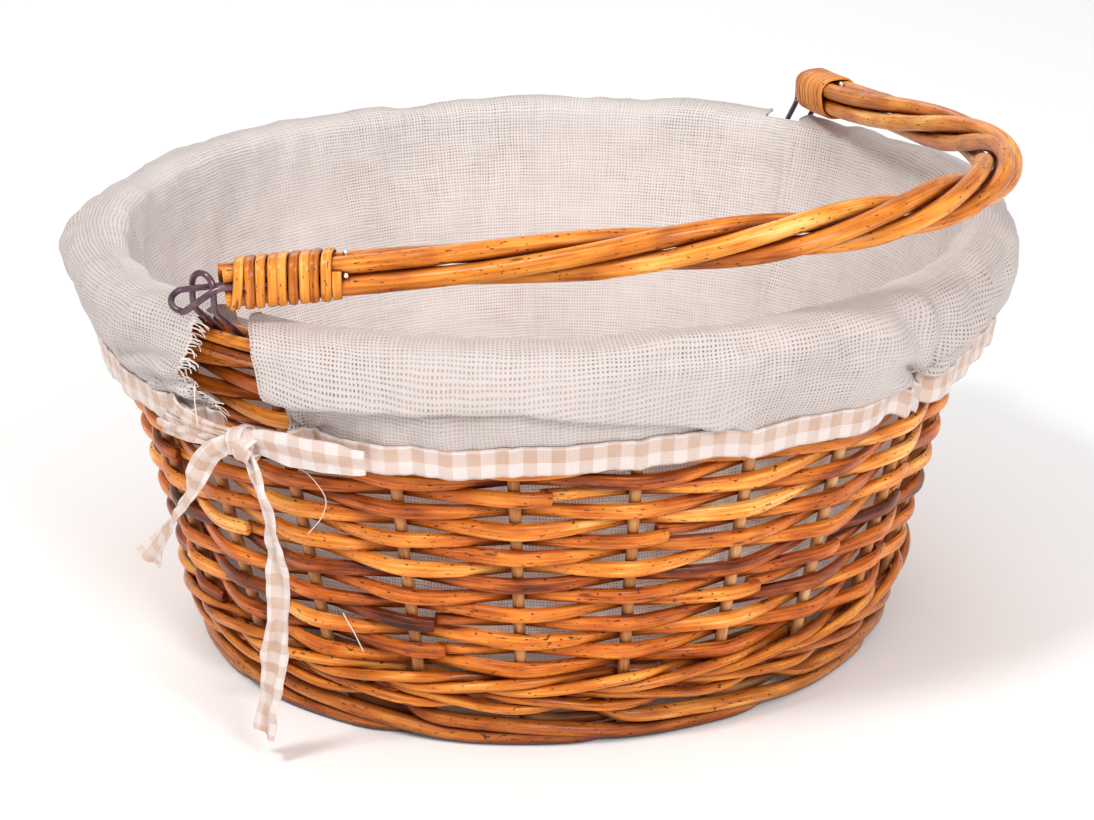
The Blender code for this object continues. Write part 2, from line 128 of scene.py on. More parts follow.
class Shader:
    """A short way to write a node tree."""

    def __init__(self, name):
        self.material = bpy.data.materials.new(name)
        self.material.use_nodes = True
        self.tree = self.material.node_tree
        self.surface = self.tree.nodes["Principled BSDF"]
        self.output = self.tree.nodes["Material Output"]

    def node(self, kind, inputs=None, **settings):
        made = self.tree.nodes.new("ShaderNode" + kind)
        for key, value in settings.items():
            setattr(made, key, value)
        for key, value in (inputs or {}).items():
            self.put(made.inputs[key], value)
        return made

    def put(self, socket, value):
        if isinstance(value, bpy.types.NodeSocket):
            self.tree.links.new(value, socket)
        elif isinstance(value, bpy.types.Node):
            self.tree.links.new(value.outputs[0], socket)
        else:
            socket.default_value = (*value, 1.0) if socket.type == "RGBA" else value

    def math(self, operation, *values, clamp=False):
        inputs = dict(enumerate(values))
        return self.node("Math", inputs, operation=operation, use_clamp=clamp).outputs[0]

    def mul(self, first, second, clamp=False):
        return self.math("MULTIPLY", first, second, clamp=clamp)

    def add(self, first, second, clamp=False):
        return self.math("ADD", first, second, clamp=clamp)

    def sub(self, first, second, clamp=False):
        return self.math("SUBTRACT", first, second, clamp=clamp)

    def mix(self, share, first, second, blend="MIX"):
        made = self.node("Mix", {0: share}, data_type="RGBA", blend_type=blend)
        self.put(made.inputs[6], first)
        self.put(made.inputs[7], second)
        return made.outputs[2]

    def ramp(self, value, *stops):
        made = self.node("ValToRGB", {0: value})
        elements = made.color_ramp.elements
        while len(elements) < len(stops):
            elements.new(1.0)
        for element, (place, colour) in zip(elements, stops):
            element.position = place
            element.color = (*colour, 1.0)
        return made.outputs[0]

    def step(self, value, low, high):
        inputs = {0: value, 1: low, 2: high}
        return self.node("MapRange", inputs, interpolation_type="SMOOTHSTEP").outputs[0]

    def attribute(self, name):
        return self.node("Attribute", attribute_name=name).outputs[2]

    def place(self):
        return self.node("NewGeometry").outputs[0]

    def bump(self, height, strength, distance):
        return self.node("Bump", {"Strength": strength, "Distance": distance, "Height": height}).outputs[0]

    def uv(self):
        return self.node("SeparateXYZ", {0: self.node("UVMap", uv_map="UVMap")}).outputs[:2]

    def stretched(self, first, second, third=0.0):
        return self.node("CombineXYZ", {0: first, 1: second, 2: third}).outputs[0]

    def noise(self, vector, scale=1.0, detail=2.0, roughness=0.5):
        inputs = {"Vector": vector, "Scale": scale, "Detail": detail, "Roughness": roughness}
        return self.node("TexNoise", inputs).outputs[0]

    def finish(self, **inputs):
        for key, value in inputs.items():
            self.put(self.surface.inputs[key.replace("_", " ")], value)
        return self.material


def willow(name, deep, dark, middle, light, pale, speck=0.62, gloss=0.36):
    """Varnished willow: long grain, darker blotches, specks and fine cracks along the rod, and painted
    shade where rods press together.
    """
    s = Shader(name)
    along, round_it = s.uv()
    tint = s.attribute("tint")
    seed = s.mul(s.attribute("seed"), 50.0)

    def streaks(lengthwise, crosswise):
        return s.stretched(s.mul(along, lengthwise), s.mul(round_it, crosswise), seed)

    grain = s.noise(streaks(0.035, 0.9), detail=4.0, roughness=0.6)
    blotch = s.noise(streaks(0.045, 0.16), detail=2.0)
    tone = s.add(tint, s.mul(s.sub(grain, 0.5), 0.85))
    tone = s.add(tone, s.mul(s.sub(blotch, 0.5), 0.95), clamp=True)
    colour = s.ramp(tone, (0.0, deep), (0.25, dark), (0.5, middle), (0.75, light), (1.0, pale))
    dots = s.noise(streaks(0.42, 0.95), detail=1.0)
    patches = s.noise(streaks(0.03, 0.1))
    limit = s.sub(speck + 0.12, s.mul(patches, 0.16))
    mark = s.step(s.sub(dots, limit), 0.0, 0.05)
    colour = s.mix(s.mul(mark, 0.85), colour, deep)
    scar_field = s.node("TexVoronoi", {"Vector": streaks(0.022, 0.085), "Scale": 1.0}).outputs[0]
    scar = s.sub(1.0, s.step(scar_field, 0.03, 0.085))
    colour = s.mix(s.mul(scar, 0.75), colour, deep)
    # painted shade: an ambient occlusion node darkens the colour where rods press together
    crease = s.node("AmbientOcclusion", {"Distance": 0.007}, samples=4)
    shade = s.step(crease.outputs[1], 0.28, 0.98)
    colour = s.mix(shade, s.mix(0.9, colour, dark, "MULTIPLY"), colour)
    height = s.add(s.mul(grain, 0.5), s.mul(mark, -0.35))
    rough = s.add(gloss, s.mul(s.sub(grain, 0.5), 0.3))
    return s.finish(Base_Color=colour, Roughness=rough, Normal=s.bump(height, 0.5, 0.0005),
                    Coat_Weight=0.08, Coat_Roughness=0.18, Specular_IOR_Level=0.24)


def woven(s, pitch, wander=0.35):
    """Thread pattern of a plain weave: (height, hole) from the UV map, whose unit is 1 mm."""
    across, up = s.uv()
    drift = s.noise(s.stretched(s.mul(across, 0.05), s.mul(up, 0.05)), detail=2.0)
    across = s.add(across, s.mul(drift, 2.4))
    up = s.add(up, s.mul(drift, -2.0))
    waves = []
    for own, other in ((across, up), (up, across)):
        slub = s.noise(s.stretched(s.mul(own, 0.9), s.mul(other, 0.06)), detail=1.0)
        place = s.add(s.math("DIVIDE", own, pitch), s.mul(slub, wander))
        wave = s.math("ABSOLUTE", s.math("SINE", s.mul(place, math.pi)))
        thick = s.add(0.75, s.mul(slub, 0.5))
        waves.append(s.mul(wave, thick, clamp=True))
    height = s.math("MAXIMUM", waves[0], waves[1])
    hole = s.mul(s.sub(1.0, waves[0], clamp=True), s.sub(1.0, waves[1], clamp=True))
    return height, hole


def linen():
    """Coarse open linen, off-white with a pink cast; its holes are painted dark with the shade behind them,
    more in some places.
    """
    s = Shader("linen")
    height, hole = woven(s, 1.42, wander=0.6)
    place = s.place()
    # patches where the holes get stronger painted shade
    clouds = s.noise(place, scale=17.0, detail=4.0)
    hole_shade_patches = s.step(clouds, 0.38, 0.56)
    strength = s.add(0.2, s.mul(hole_shade_patches, 0.8))
    dark = s.mul(s.step(hole, 0.3, 0.72), strength)
    warm = s.noise(place, scale=30.0, detail=2.0)
    sheer_and_painted_light = s.attribute("tint")
    cloth = s.mix(warm, (0.61, 0.55, 0.53), (0.53, 0.465, 0.44))
    # painted light: the cloth inside the wall is coloured much lighter than the same cloth on the cuff, to
    # brighten the shade inside the basket
    cloth = s.mix(s.mul(sheer_and_painted_light, 0.85), cloth, (0.99, 0.915, 0.885))
    # painted shade in the low parts between the threads, with less of it on the inside wall
    shaded = s.mix(s.sub(0.6, s.mul(sheer_and_painted_light, 0.3)), cloth, (0.42, 0.31, 0.28))
    colour = s.mix(s.step(height, 0.35, 1.0), shaded, cloth)
    # painted shade: the holes are coloured dark, as though shade behind the cloth showed through them
    colour = s.mix(dark, colour, (0.12, 0.075, 0.065))
    bump = s.bump(height, 0.6, 0.0005)
    material = s.finish(Base_Color=colour, Roughness=0.92, Normal=bump, Sheen_Weight=0.15,
                        Sheen_Roughness=0.5, Specular_IOR_Level=0.1)
    # the wall lets some of the light inside through to the gaps in the weave
    glow = s.node("BsdfTranslucent", {0: s.mix(1.0, colour, (1.0, 0.87, 0.78), "MULTIPLY")})
    both = s.node("MixShader", {0: s.mul(sheer_and_painted_light, 0.22), 1: s.surface, 2: glow})
    s.put(s.output.inputs["Surface"], both)
    return material


def gingham():
    """Tan and white checks of 5 mm, woven in the same cloth, with painted shade between the threads and in
    the holes.
    """
    s = Shader("gingham")
    height, hole = woven(s, 0.8, wander=0.2)
    across, up = s.uv()
    bands = []
    for way in (across, up):
        wave = s.math("SINE", s.mul(way, math.pi / 5.0))
        bands.append(s.step(wave, -0.12, 0.12))
    both = s.add(s.mul(bands[0], 0.5), s.mul(bands[1], 0.5))
    wear = s.noise(s.place(), scale=60.0, detail=2.0)
    both = s.mul(both, s.add(0.5, s.mul(wear, 0.7)), clamp=True)
    colour = s.mix(both, (0.78, 0.69, 0.67), (0.53, 0.32, 0.205))
    slubs = s.noise(s.stretched(s.mul(across, 0.25), s.mul(up, 1.6)), detail=2.0)
    colour = s.mix(s.mul(slubs, 0.4), colour, (0.66, 0.53, 0.47))
    # painted shade in the low parts between the threads
    colour = s.mix(s.step(height, 0.2, 0.9), s.mix(0.45, colour, (0.42, 0.29, 0.24)), colour)
    # painted shade: the holes are coloured dark, as though shade behind the cloth showed through them
    colour = s.mix(s.mul(s.step(hole, 0.4, 0.8), 0.35), colour, (0.42, 0.32, 0.27))
    bump = s.bump(height, 0.5, 0.0003)
    return s.finish(Base_Color=colour, Roughness=0.9, Normal=bump, Sheen_Weight=0.25,
                    Specular_IOR_Level=0.15)


def thread():
    s = Shader("thread")
    fuzz = s.noise(s.place(), scale=900.0)
    colour = s.mix(fuzz, (0.88, 0.82, 0.78), (0.72, 0.62, 0.56))
    return s.finish(Base_Color=colour, Roughness=0.9, Sheen_Weight=0.3, Specular_IOR_Level=0.15)


def coated_wire():
    """Purple-brown lacquered wire, rubbed lighter in patches."""
    s = Shader("coated_wire")
    rub = s.noise(s.place(), scale=260.0, detail=3.0)
    colour = s.ramp(rub, (0.35, (0.050, 0.020, 0.030)), (0.6, (0.125, 0.055, 0.075)),
                    (0.8, (0.26, 0.15, 0.17)))
    bump = s.bump(rub, 0.15, 0.0002)
    return s.finish(Base_Color=colour, Roughness=0.3, Metallic=0.35, Normal=bump, Coat_Weight=0.5)


def steel_pin():
    s = Shader("steel_pin")
    rub = s.noise(s.place(), scale=800.0)
    rough = s.add(0.12, s.mul(rub, 0.2))
    return s.finish(Base_Color=(0.86, 0.84, 0.82), Metallic=1.0, Roughness=rough)


MATERIALS = {
    "buff_willow": willow("buff_willow", (0.030, 0.006, 0.001), (0.21, 0.034, 0.004), (0.57, 0.126, 0.010),
                          (0.82, 0.275, 0.033), (0.97, 0.55, 0.15)),
    "dark_willow": willow("dark_willow", (0.022, 0.005, 0.001), (0.13, 0.025, 0.004), (0.36, 0.080, 0.010),
                          (0.58, 0.185, 0.026), (0.80, 0.37, 0.09)),
    "pale_willow": willow("pale_willow", (0.045, 0.009, 0.002), (0.27, 0.058, 0.006), (0.57, 0.158, 0.014),
                          (0.80, 0.300, 0.040), (0.94, 0.54, 0.16), speck=0.63, gloss=0.30),
    "stake_willow": willow("stake_willow", (0.12, 0.036, 0.012), (0.33, 0.118, 0.034), (0.56, 0.245, 0.080),
                           (0.69, 0.355, 0.135), (0.80, 0.49, 0.23), speck=0.72, gloss=0.45),
    "linen": linen(),
    "gingham": gingham(),
    "coated_wire": coated_wire(),
    "steel_pin": steel_pin(),
    "thread": thread(),
}

# ---------------------------------------------------------------- mesh helpers


def add_object(name, data):
    obj = bpy.data.objects.new(name, data)
    bpy.context.scene.collection.objects.link(obj)
    return obj


def make_piece(name, shape, slot, tint=None, body="basket", replaces=(), material=None, sharp=180.0):
    """A finished piece from a shape: vertices in millimetres, faces, UVs.

    tint has a value for each ring, or one for all. The piece stands for the CAD node of the same
    name, if there is one, and for those in replaces.
    """
    vertices, faces, uvs = shape
    mesh = bpy.data.meshes.new(name)
    mesh.from_pydata(((np.asarray(vertices) + CENTRE) * MM).tolist(), [], faces)
    mesh.uv_layers.new(name="UVMap").data.foreach_set("uv", np.asarray(uvs, np.float32).ravel())
    if tint is not None:
        tint = np.repeat(tint, len(vertices) // len(tint))
        for key, values in (("tint", tint), ("seed", np.full(len(vertices), random.random()))):
            layer = mesh.attributes.new(key, "FLOAT", "POINT")
            layer.data.foreach_set("value", np.asarray(values, np.float32))
    mesh.shade_smooth()
    mesh.set_sharp_from_angle(angle=math.radians(sharp))
    mesh.materials.append(MATERIALS[material or slot])
    obj = add_object(name, mesh)
    nodes = [*replaces, *({name} & set(frame["nodes"]))]
    if nodes:
        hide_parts(*nodes)
    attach(obj, body)
    return obj


def smooth(points, steps, closed=False):
    """A Catmull-Rom curve through the points, with steps parts between neighbours."""
    p = np.asarray(points, float)
    if closed:
        p = np.vstack([p[-1], p, p[:2]])
    else:
        p = np.vstack([2 * p[0] - p[1], p, 2 * p[-1] - p[-2]])
    t = np.arange(steps) / steps
    spans = [0.5 * (2 * b + np.outer(t, c - a) + np.outer(t**2, 2 * a - 5 * b + 4 * c - d)
                    + np.outer(t**3, 3 * b - a - 3 * c + d))
             for a, b, c, d in zip(p, p[1:], p[2:], p[3:])]
    if not closed:
        spans.append(p[-2:-1])
    return np.vstack(spans)


def arc_lengths(path):
    return np.concatenate([[0.0], np.cumsum(np.linalg.norm(np.diff(path, axis=0), axis=1))])


def read_at(places, lengths, rows):
    """Rows of values along a path, read at other lengths."""
    return np.stack([np.interp(places, lengths, column) for column in rows.T], axis=-1)


def resample(path, spacing):
    """The path again with even spacing."""
    lengths = arc_lengths(path)
    count = max(int(round(lengths[-1] / spacing)), 2)
    return read_at(np.linspace(0, lengths[-1], count + 1), lengths, path)


def eased(share):
    return share * share * (3 - 2 * share)


def circle(diameter, sides=14):
    turn = np.linspace(0, 2 * np.pi, sides, endpoint=False)
    return np.stack([np.cos(turn), np.sin(turn)], axis=1) * diameter / 2


def half_round(height, depth, sides=12):
    """Section of a split rod: flat on the inside at 0, round on the outside at depth."""
    turn = np.linspace(-np.pi / 2, np.pi / 2, sides)
    out = depth * (0.14 + 0.86 * np.abs(np.cos(turn)) ** 0.5)
    outer = np.stack([out, np.sin(turn) * height / 2], axis=1)
    inner = np.array([[0.0, 0.40], [0.0, 0.0], [0.0, -0.40]]) * [1, height]
    return np.vstack([outer, inner])


END_GRAIN = 0.4


def rings_shape(points, along, across, closed=False, sheet=False, end_uvs=None):
    """Vertices, faces and UVs of a grid of points: rings one after another, each closed unless a sheet.

    The UVs are a place along for each ring and one across for each side, with one more of either
    where the shape closes on itself. Ends are filled where end_uvs says how to map them.
    """
    rings, sides = points.shape[:2]
    ring = np.arange(rings if closed else rings - 1)[:, None]
    spot = np.arange(sides - 1 if sheet else sides)[None, :]
    low, high, after = ring * sides, (ring + 1) % rings * sides, (spot + 1) % sides
    faces = np.stack([low + spot, high + spot, high + after, low + after], axis=-1).reshape(-1, 4).tolist()
    across = np.broadcast_to(across, (len(along), np.shape(across)[-1]))
    corners = [(ring, spot), (ring + 1, spot), (ring + 1, spot + 1), (ring, spot + 1)]
    uvs = [np.stack(np.broadcast_arrays(along[i], across[i, j]), axis=-1) for i, j in corners]
    uvs = np.stack(uvs, axis=2).reshape(-1, 2)
    if end_uvs is not None:
        last = rings * sides - 1
        faces += [list(range(sides)), list(range(last, last - sides, -1))]
        uvs = np.vstack([uvs, end_uvs, end_uvs[::-1]])
    return points.reshape(-1, 3), faces, uvs


def tube(path, outward, section, scale=1.0, closed=False):
    """A section swept along a path. Section points are (out, side)."""
    path = np.asarray(path, float)
    if closed:
        tangent = unit(np.roll(path, -1, 0) - np.roll(path, 1, 0))
    else:
        tangent = unit(np.gradient(path, axis=0))
    side = unit(np.cross(np.broadcast_to(outward, path.shape), tangent))
    out = np.cross(tangent, side)
    scale = np.broadcast_to(np.asarray(scale, float).reshape(-1, 1) if np.ndim(scale) == 1 else scale,
                            (len(path), 2))
    points = (path[:, None] + out[:, None] * (section[None, :, :1] * scale[:, None, :1])
              + side[:, None] * (section[None, :, 1:] * scale[:, None, 1:]))
    along = arc_lengths(np.vstack([path, path[:1]]) if closed else path)
    around = arc_lengths(np.vstack([section, section[:1]]))
    return rings_shape(points, along, around, closed, end_uvs=None if closed else section * END_GRAIN)


def joined(parts):
    """Several (vertices, faces, uvs) as one."""
    vertices, faces, uvs, start = [], [], [], 0
    for own_vertices, own_faces, own_uvs in parts:
        vertices.append(own_vertices)
        faces += [[corner + start for corner in face] for face in own_faces]
        uvs.append(own_uvs)
        start += len(own_vertices)
    return np.vstack(vertices), faces, np.vstack(uvs)


def cut_ends(path, scale, outward, bevel=0.35):
    """A rod's path, scale and outward directions with a smaller ring added at each end, as a bevel."""
    path = np.asarray(path, float)
    scale = np.broadcast_to(np.asarray(scale, float).reshape(len(scale), -1), (len(path), 2))
    first = path[0] - unit(path[1] - path[0]) * bevel
    last = path[-1] + unit(path[-1] - path[-2]) * bevel
    if np.ndim(outward) == 2:
        outward = np.vstack([outward[:1], outward, outward[-1:]])
    return np.vstack([first, path, last]), np.vstack([scale[:1] * 0.86, scale, scale[-1:] * 0.86]), outward


def wobble(count, size, rough=6.0):
    """Smooth random values along a rod."""
    start = random.uniform(0, 1000)
    return np.array([noise.noise((start, index / rough, 0.0)) for index in range(count)]) * size


def rod_piece(name, path, diameter, slot, tint, closed=False, replaces=(), uneven=0.05, sides=14,
              outward=None):
    """A round willow rod of slightly uneven thickness, with bevelled cut ends."""
    outward = unit(path * [1, 1, 0]) if outward is None else outward
    scale = 1 + wobble(len(path), uneven)
    tints = tint + wobble(len(path), 0.18, 14.0)
    if closed:
        blend = 0.5 - 0.5 * np.cos(np.linspace(0, 2 * np.pi, len(path)))
        scale = 1 + (scale - 1) * blend
        tints = tint + (tints - tint) * blend
    else:
        path, scale, outward = cut_ends(path, scale, outward)
        tints = np.concatenate([tints[:1], tints, tints[-1:]])
    shape = tube(path, outward, circle(diameter, sides), scale, closed)
    make_piece(name, shape, slot, tints, replaces=replaces, sharp=50.0)


# ---------------------------------------------------------------- willow


def build_stakes():
    foot = FOOT_RADIUS - FOOT_ROD / 2 - STAKE / 2 - 1.0
    for pair in range(STAKES // 2):
        legs = []
        for index, inward in ((2 * pair, 0.9), (2 * pair + 1, -0.9)):
            angle, lean = stake_angle(index), random.uniform(-0.25, 0.25)
            leg = [oval(wall_radius(height), angle + lean * math.sin(height / 30), height)
                   for height in (STAKE_TOP, 125.0, 80.0, 45.0, 24.0)]
            legs.append(leg + [oval(foot, angle, 14.0), oval(foot - 0.5, angle + inward, 8.2)])
        middle = oval(foot - 0.6, stake_angle(2 * pair + 0.5), 7.2)
        path = resample(smooth(legs[0] + [middle] + legs[1][::-1], 8), 2.5)
        rod_piece(f"stake_pair_{pair + 1:02d}", path, STAKE, "stake_willow", random.uniform(0.4, 0.75))


WEAVER_DEPTH = 3.1
WEAVER_FRONT = 7.0
WEAVER_MIDDLE = 6.1
WEAVER_BACK = 5.5
WEAVER_CLEAR = 0.15
KINK = 0.93
STAKE_SAMPLES = 14  # from one stake to the next


def weaver_path(row, start, end, height):
    """Path and section heights of a split rod from one stake number to another, in one row."""
    place = np.arange(int(start * STAKE_SAMPLES), int(end * STAKE_SAMPLES) + 1) / STAKE_SAMPLES
    front = np.arcsin(KINK * np.cos(np.pi * (place + row))) / math.asin(KINK)
    inner = -(STAKE / 2 + WEAVER_CLEAR) - WEAVER_DEPTH
    outer = STAKE / 2 + WEAVER_CLEAR
    offset = (outer + inner) / 2 + (outer - inner) / 2 * front
    slant = random.uniform(-0.9, 0.1)
    lift = height + slant * np.sin(np.pi * (place + row)) + wobble(len(place), 1.5, 16.0)
    angle = stake_angle(place)
    path = oval(wall_radius(lift) + offset, angle, lift)
    tall = np.where(front > 0, WEAVER_MIDDLE + (WEAVER_FRONT - WEAVER_MIDDLE) * front,
                    WEAVER_MIDDLE + (WEAVER_MIDDLE - WEAVER_BACK) * front)
    return path, outward_at(angle), tall / WEAVER_FRONT, place


def build_siding():
    """Twenty rows, each of two split rods laid end to end. A rod's butt is tucked in beside a stake."""
    section = half_round(WEAVER_FRONT, WEAVER_DEPTH)
    for row in range(ROWS):
        height = FIRST_ROW + row * ROW_PITCH
        first = random.randrange(STAKES)
        cuts = [first, first + random.choice((10, 11, 12, 13, 14)), first + STAKES]
        for part, (start, end) in enumerate(zip(cuts, cuts[1:])):
            visible_end = end if (end + row) % 2 == 0 else end + 1
            visible_start = start if (start + row) % 2 == 0 else start + 1
            begin, stop = visible_start + 0.42, visible_end + random.uniform(0.24, 0.36)
            path, outward, tall, place = weaver_path(row, begin - 0.15, stop, height)
            tuck = np.clip((begin + 0.7 - place) / 0.85, 0, 1) ** 1.5
            path = path - outward * (3.2 * tuck)[:, None]
            narrow = 1 - 0.3 * np.clip((begin + 1.5 - place) / 1.5, 0, 1)
            size = random.uniform(1.0, 1.1) - 0.17 * np.linspace(0, 1, len(path))
            scale = np.stack([np.full(len(path), random.uniform(0.88, 1.05)), tall * narrow * size], axis=1)
            path, scale, outward = cut_ends(path, scale, outward)
            tint = random.choice((0.36, 0.46, 0.54, 0.6, 0.66, 0.74)) + wobble(len(path), 0.3, 30.0)
            tint -= 0.012 * max(8 - row, 0)
            nodes = (f"siding_weaver_{row // 2 + 1:02d}",) if part == 0 and row % 2 == 0 else ()
            make_piece(f"siding_row_{row + 1:02d}_rod_{part + 1}", tube(path, outward, section, scale),
                       "buff_willow", tint, replaces=nodes, sharp=55.0)


WALE_ROD = 4.2


def build_wale():
    """Two bands of three round rods each. A rod climbs outside two stakes, then passes behind one."""
    lift = STAKE / 2 + WALE_ROD / 2 + 0.2
    for band, (centre, climb) in enumerate(((28.4, 2.3), (20.4, -2.4))):
        for strand in range(3):
            points = []
            for index in range(STAKES):
                beat = (index + strand + band) % 3
                height = centre + (-climb, climb, 0.0)[beat] + random.uniform(-0.5, 0.5)
                offset = (lift, lift + 0.6, -lift)[beat]
                radius = wall_radius(height) + offset - (1.2 if band else 0.0)
                points.append(oval(radius, stake_angle(index), height))
            path = smooth(points, 8, closed=True)
            rod_piece(f"wale_rod_{band * 3 + strand + 1}", path, WALE_ROD, "pale_willow",
                      random.uniform(0.42, 0.7), closed=True)


FOOT_PIECES = 12


def build_foot():
    """Thick rods laid round the bottom: each comes out under the wale and slopes down to the ground."""
    low = FOOT_ROD / 2
    sweep = 2 * 360.0 / FOOT_PIECES
    # share of the way round, distance out and height
    shape = ((0.0, -11.0, 15.5), (0.10, -5.0, 14.0), (0.2, 1.0, 10.6), (0.38, 1.6, 9.2), (0.52, 1.0, 7.0),
             (0.68, 0.4, 4.0), (0.82, 0.0, low + 0.1), (1.0, 0.0, low), (1.12, -3.5, low))
    for index in range(FOOT_PIECES):
        start = index * 360.0 / FOOT_PIECES + 11.0 + random.uniform(-2, 2)
        points = [oval(FOOT_RADIUS + offset, start + share * sweep, height)
                  for share, offset, height in shape]
        path = resample(smooth(points, 8), 2.5)
        size = random.uniform(0.92, 1.0)
        path[:, 2] = np.maximum(path[:, 2], FOOT_ROD * size * 0.53)
        nodes = ("foot_rod_lower", "foot_rod_upper") if index == 0 else ()
        rod_piece(f"foot_rod_{index + 1:02d}", path, FOOT_ROD * size, "dark_willow",
                  random.uniform(0.5, 0.8), replaces=nodes, uneven=0.04)


def build_rim():
    """Border rods on both sides of the stakes' tips."""
    ring = np.arange(0, 360, 1.5)
    out = STAKE / 2 + 2.9
    rods = (("rim_rod_outer_low", 160.6, out + 0.2, 5.8, "dark_willow", 0.55, ("rim_rod_outer",)),
            ("rim_rod_outer_top", 166.0, out, 4.8, "pale_willow", 0.5, ()),
            ("rim_rod_inner", 164.8, -out, 5.2, "buff_willow", 0.5, ()))
    for name, height, offset, diameter, slot, tint, nodes in rods:
        path = oval(wall_radius(height) + offset + 0.25 * np.sin(np.radians(ring * 24)),
                    ring, height + 0.5 * np.sin(np.radians(ring * 7)))
        rod_piece(name, path, diameter, slot, tint, closed=True, replaces=nodes)


BASE_HEIGHT = 19.5
BASE_STICK = 5.0
BASE_WEAVER = 4.0


def build_base():
    """The round base under the liner: crossed sticks fanned out, with two rods woven in a spiral."""
    cross = BASE_STICK / 2 + 0.15
    for layer, heading in ((-1, 0.0), (1, 90.0)):
        for place in (-1, 0, 1):
            fan = math.radians(30.0 * place)
            half = [(radius * math.cos(fan), radius * math.sin(fan), 0.0) for radius in (130, 90, 52)]
            half.append((24 * math.cos(fan), place * (BASE_STICK + 0.3), layer * cross))
            points = np.array(half + [(-x, y, z) for x, y, z in reversed(half)])
            turn = math.radians(heading)
            turned = points @ np.array([[math.cos(turn), math.sin(turn), 0],
                                        [-math.sin(turn), math.cos(turn), 0], [0, 0, 1]])
            path = resample(smooth(turned + [0, 0, BASE_HEIGHT], 6), 3.0)
            rod_piece(f"base_stick_{'lower' if layer < 0 else 'upper'}_{place + 2}", path, BASE_STICK,
                      "stake_willow", 0.5, outward=UP)
    lift = BASE_STICK / 2 + BASE_WEAVER / 2 + 0.2
    pitch = 2 * (BASE_WEAVER + 2.4)
    for strand in range(2):
        index = np.arange(0, 60.01, 0.25)
        radius = 56.0 + pitch * (index / 12 + strand / 2)
        side = lift * np.cos(np.pi * (index + strand))
        turn = np.radians(30.0 * index)
        path = np.stack([radius * np.cos(turn), radius * np.sin(turn), BASE_HEIGHT + side], axis=1)
        rod_piece(f"base_weaver_{strand + 1}", path, BASE_WEAVER, "stake_willow", 0.45, sides=10,
                  outward=UP)


# ---------------------------------------------------------------- liner

SLOT_EDGE = 5.5
CUFF = ((166.3, 166.4), (167.4, 171.0), (171.8, 174.5), (178.5, 175.3), (184.8, 173.2),
        (188.4, 168.8), (189.3, 163.0), (187.3, 154.0), (182.6, 143.0), (178.7, 135.6))
TRIM_HEIGHT = 10.4
COLUMNS = 640
COLUMN_ANGLES = np.arange(COLUMNS) * 360.0 / COLUMNS
LINER_DEGREE = math.radians(172.0)
THREAD_OUT = (0.3, 0.2, 0.9)
LEAN_REACH = 45.0
LIP_HEIGHTS = (168.5, 174.0)
FLOOR_PANEL = 127.0
SEAMS = (41.0, 131.0, 222.0, 311.0, 357.5)
EDGE_ROLL = 1.1
DEEPEST_DENT = 3.2


def cloth_noise(points, size, seed):
    """Smooth noise at points in millimetres."""
    return np.array([noise.noise(Vector((x / size, y / size, z / size + seed))) for x, y, z in points])


def gauss(distance, width):
    return np.exp(-(distance / width) ** 2)


def angle_gap(first, second):
    return (first - second + 180.0) % 360.0 - 180.0


# Where the cloth's edges lie beside each slot: arc length past the crest, and degrees from the slot
FRAYED_EDGE = ((0.0, 2.4), (10.0, 2.3), (16.7, 1.8), (25.0, 3.0), (32.0, 5.0), (41.0, 4.0), (46.0, 1.0))
HEMMED_EDGE = ((0.0, 3.3), (12.0, 6.0), (21.0, 6.8), (31.5, 6.9), (33.5, 9.2), (48.0, 8.8))

# The crease under the front cuff's overhang: plan angle and arc length past the crest
CREASE = ((180.0, 38.0), (188.0, 33.0), (195.0, 28.5), (207.0, 25.5), (217.0, 25.5), (226.5, 32.0),
          (239.5, 41.0), (243.0, 49.0))

# Folds of the cuff: plan angle and arc length past the crest at each end, width and height
FOLDS = (
    (226.0, 8.0, 246.0, 3.0, 4.0, 2.2),
    (243.0, 8.0, 262.0, 34.0, 7.0, 2.6),
    (251.0, 4.0, 266.0, 36.0, 6.0, 2.8),
    (262.0, 2.0, 268.0, 34.0, 5.0, 3.0),
    (282.0, 4.0, 270.0, 38.0, 6.0, 3.0),
    (296.0, 10.0, 276.0, 44.0, 6.0, 2.4),
    (172.0, 2.0, 160.0, 34.0, 8.0, 2.6),
    (150.0, 4.0, 163.0, 30.0, 7.0, 2.4),
    (128.0, 6.0, 140.0, 36.0, 8.0, 2.0),
    (176.0, 30.0, 158.0, 42.0, 3.0, 2.2),
    (178.0, 38.0, 164.0, 47.0, 2.5, 1.8),
)

# Places where the cloth is drawn together: plan angle, arc length, reach, height, count of folds
PUCKERS = ((267.0, 44.0, 23.0, 4.2, 6), (177.0, 46.0, 17.0, 1.8, 7), (191.0, 50.0, 14.0, 1.6, 6),
           (84.0, 46.0, 20.0, 2.4, 6), (357.0, 46.0, 17.0, 1.8, 7), (11.0, 50.0, 14.0, 1.6, 6))
# Places where the cloth hangs loose: plan angle, arc length, reach, height
SAGS = ((257.0, 34.0, 20.0, 4.5), (274.0, 28.0, 15.0, 3.0), (152.0, 30.0, 22.0, 1.5),
        (70.0, 34.0, 22.0, 4.0), (110.0, 30.0, 24.0, 3.0), (320.0, 30.0, 24.0, 3.0))
# Millimetres to a degree of the plan, on the cuff
CUFF_DEGREE = 3.2


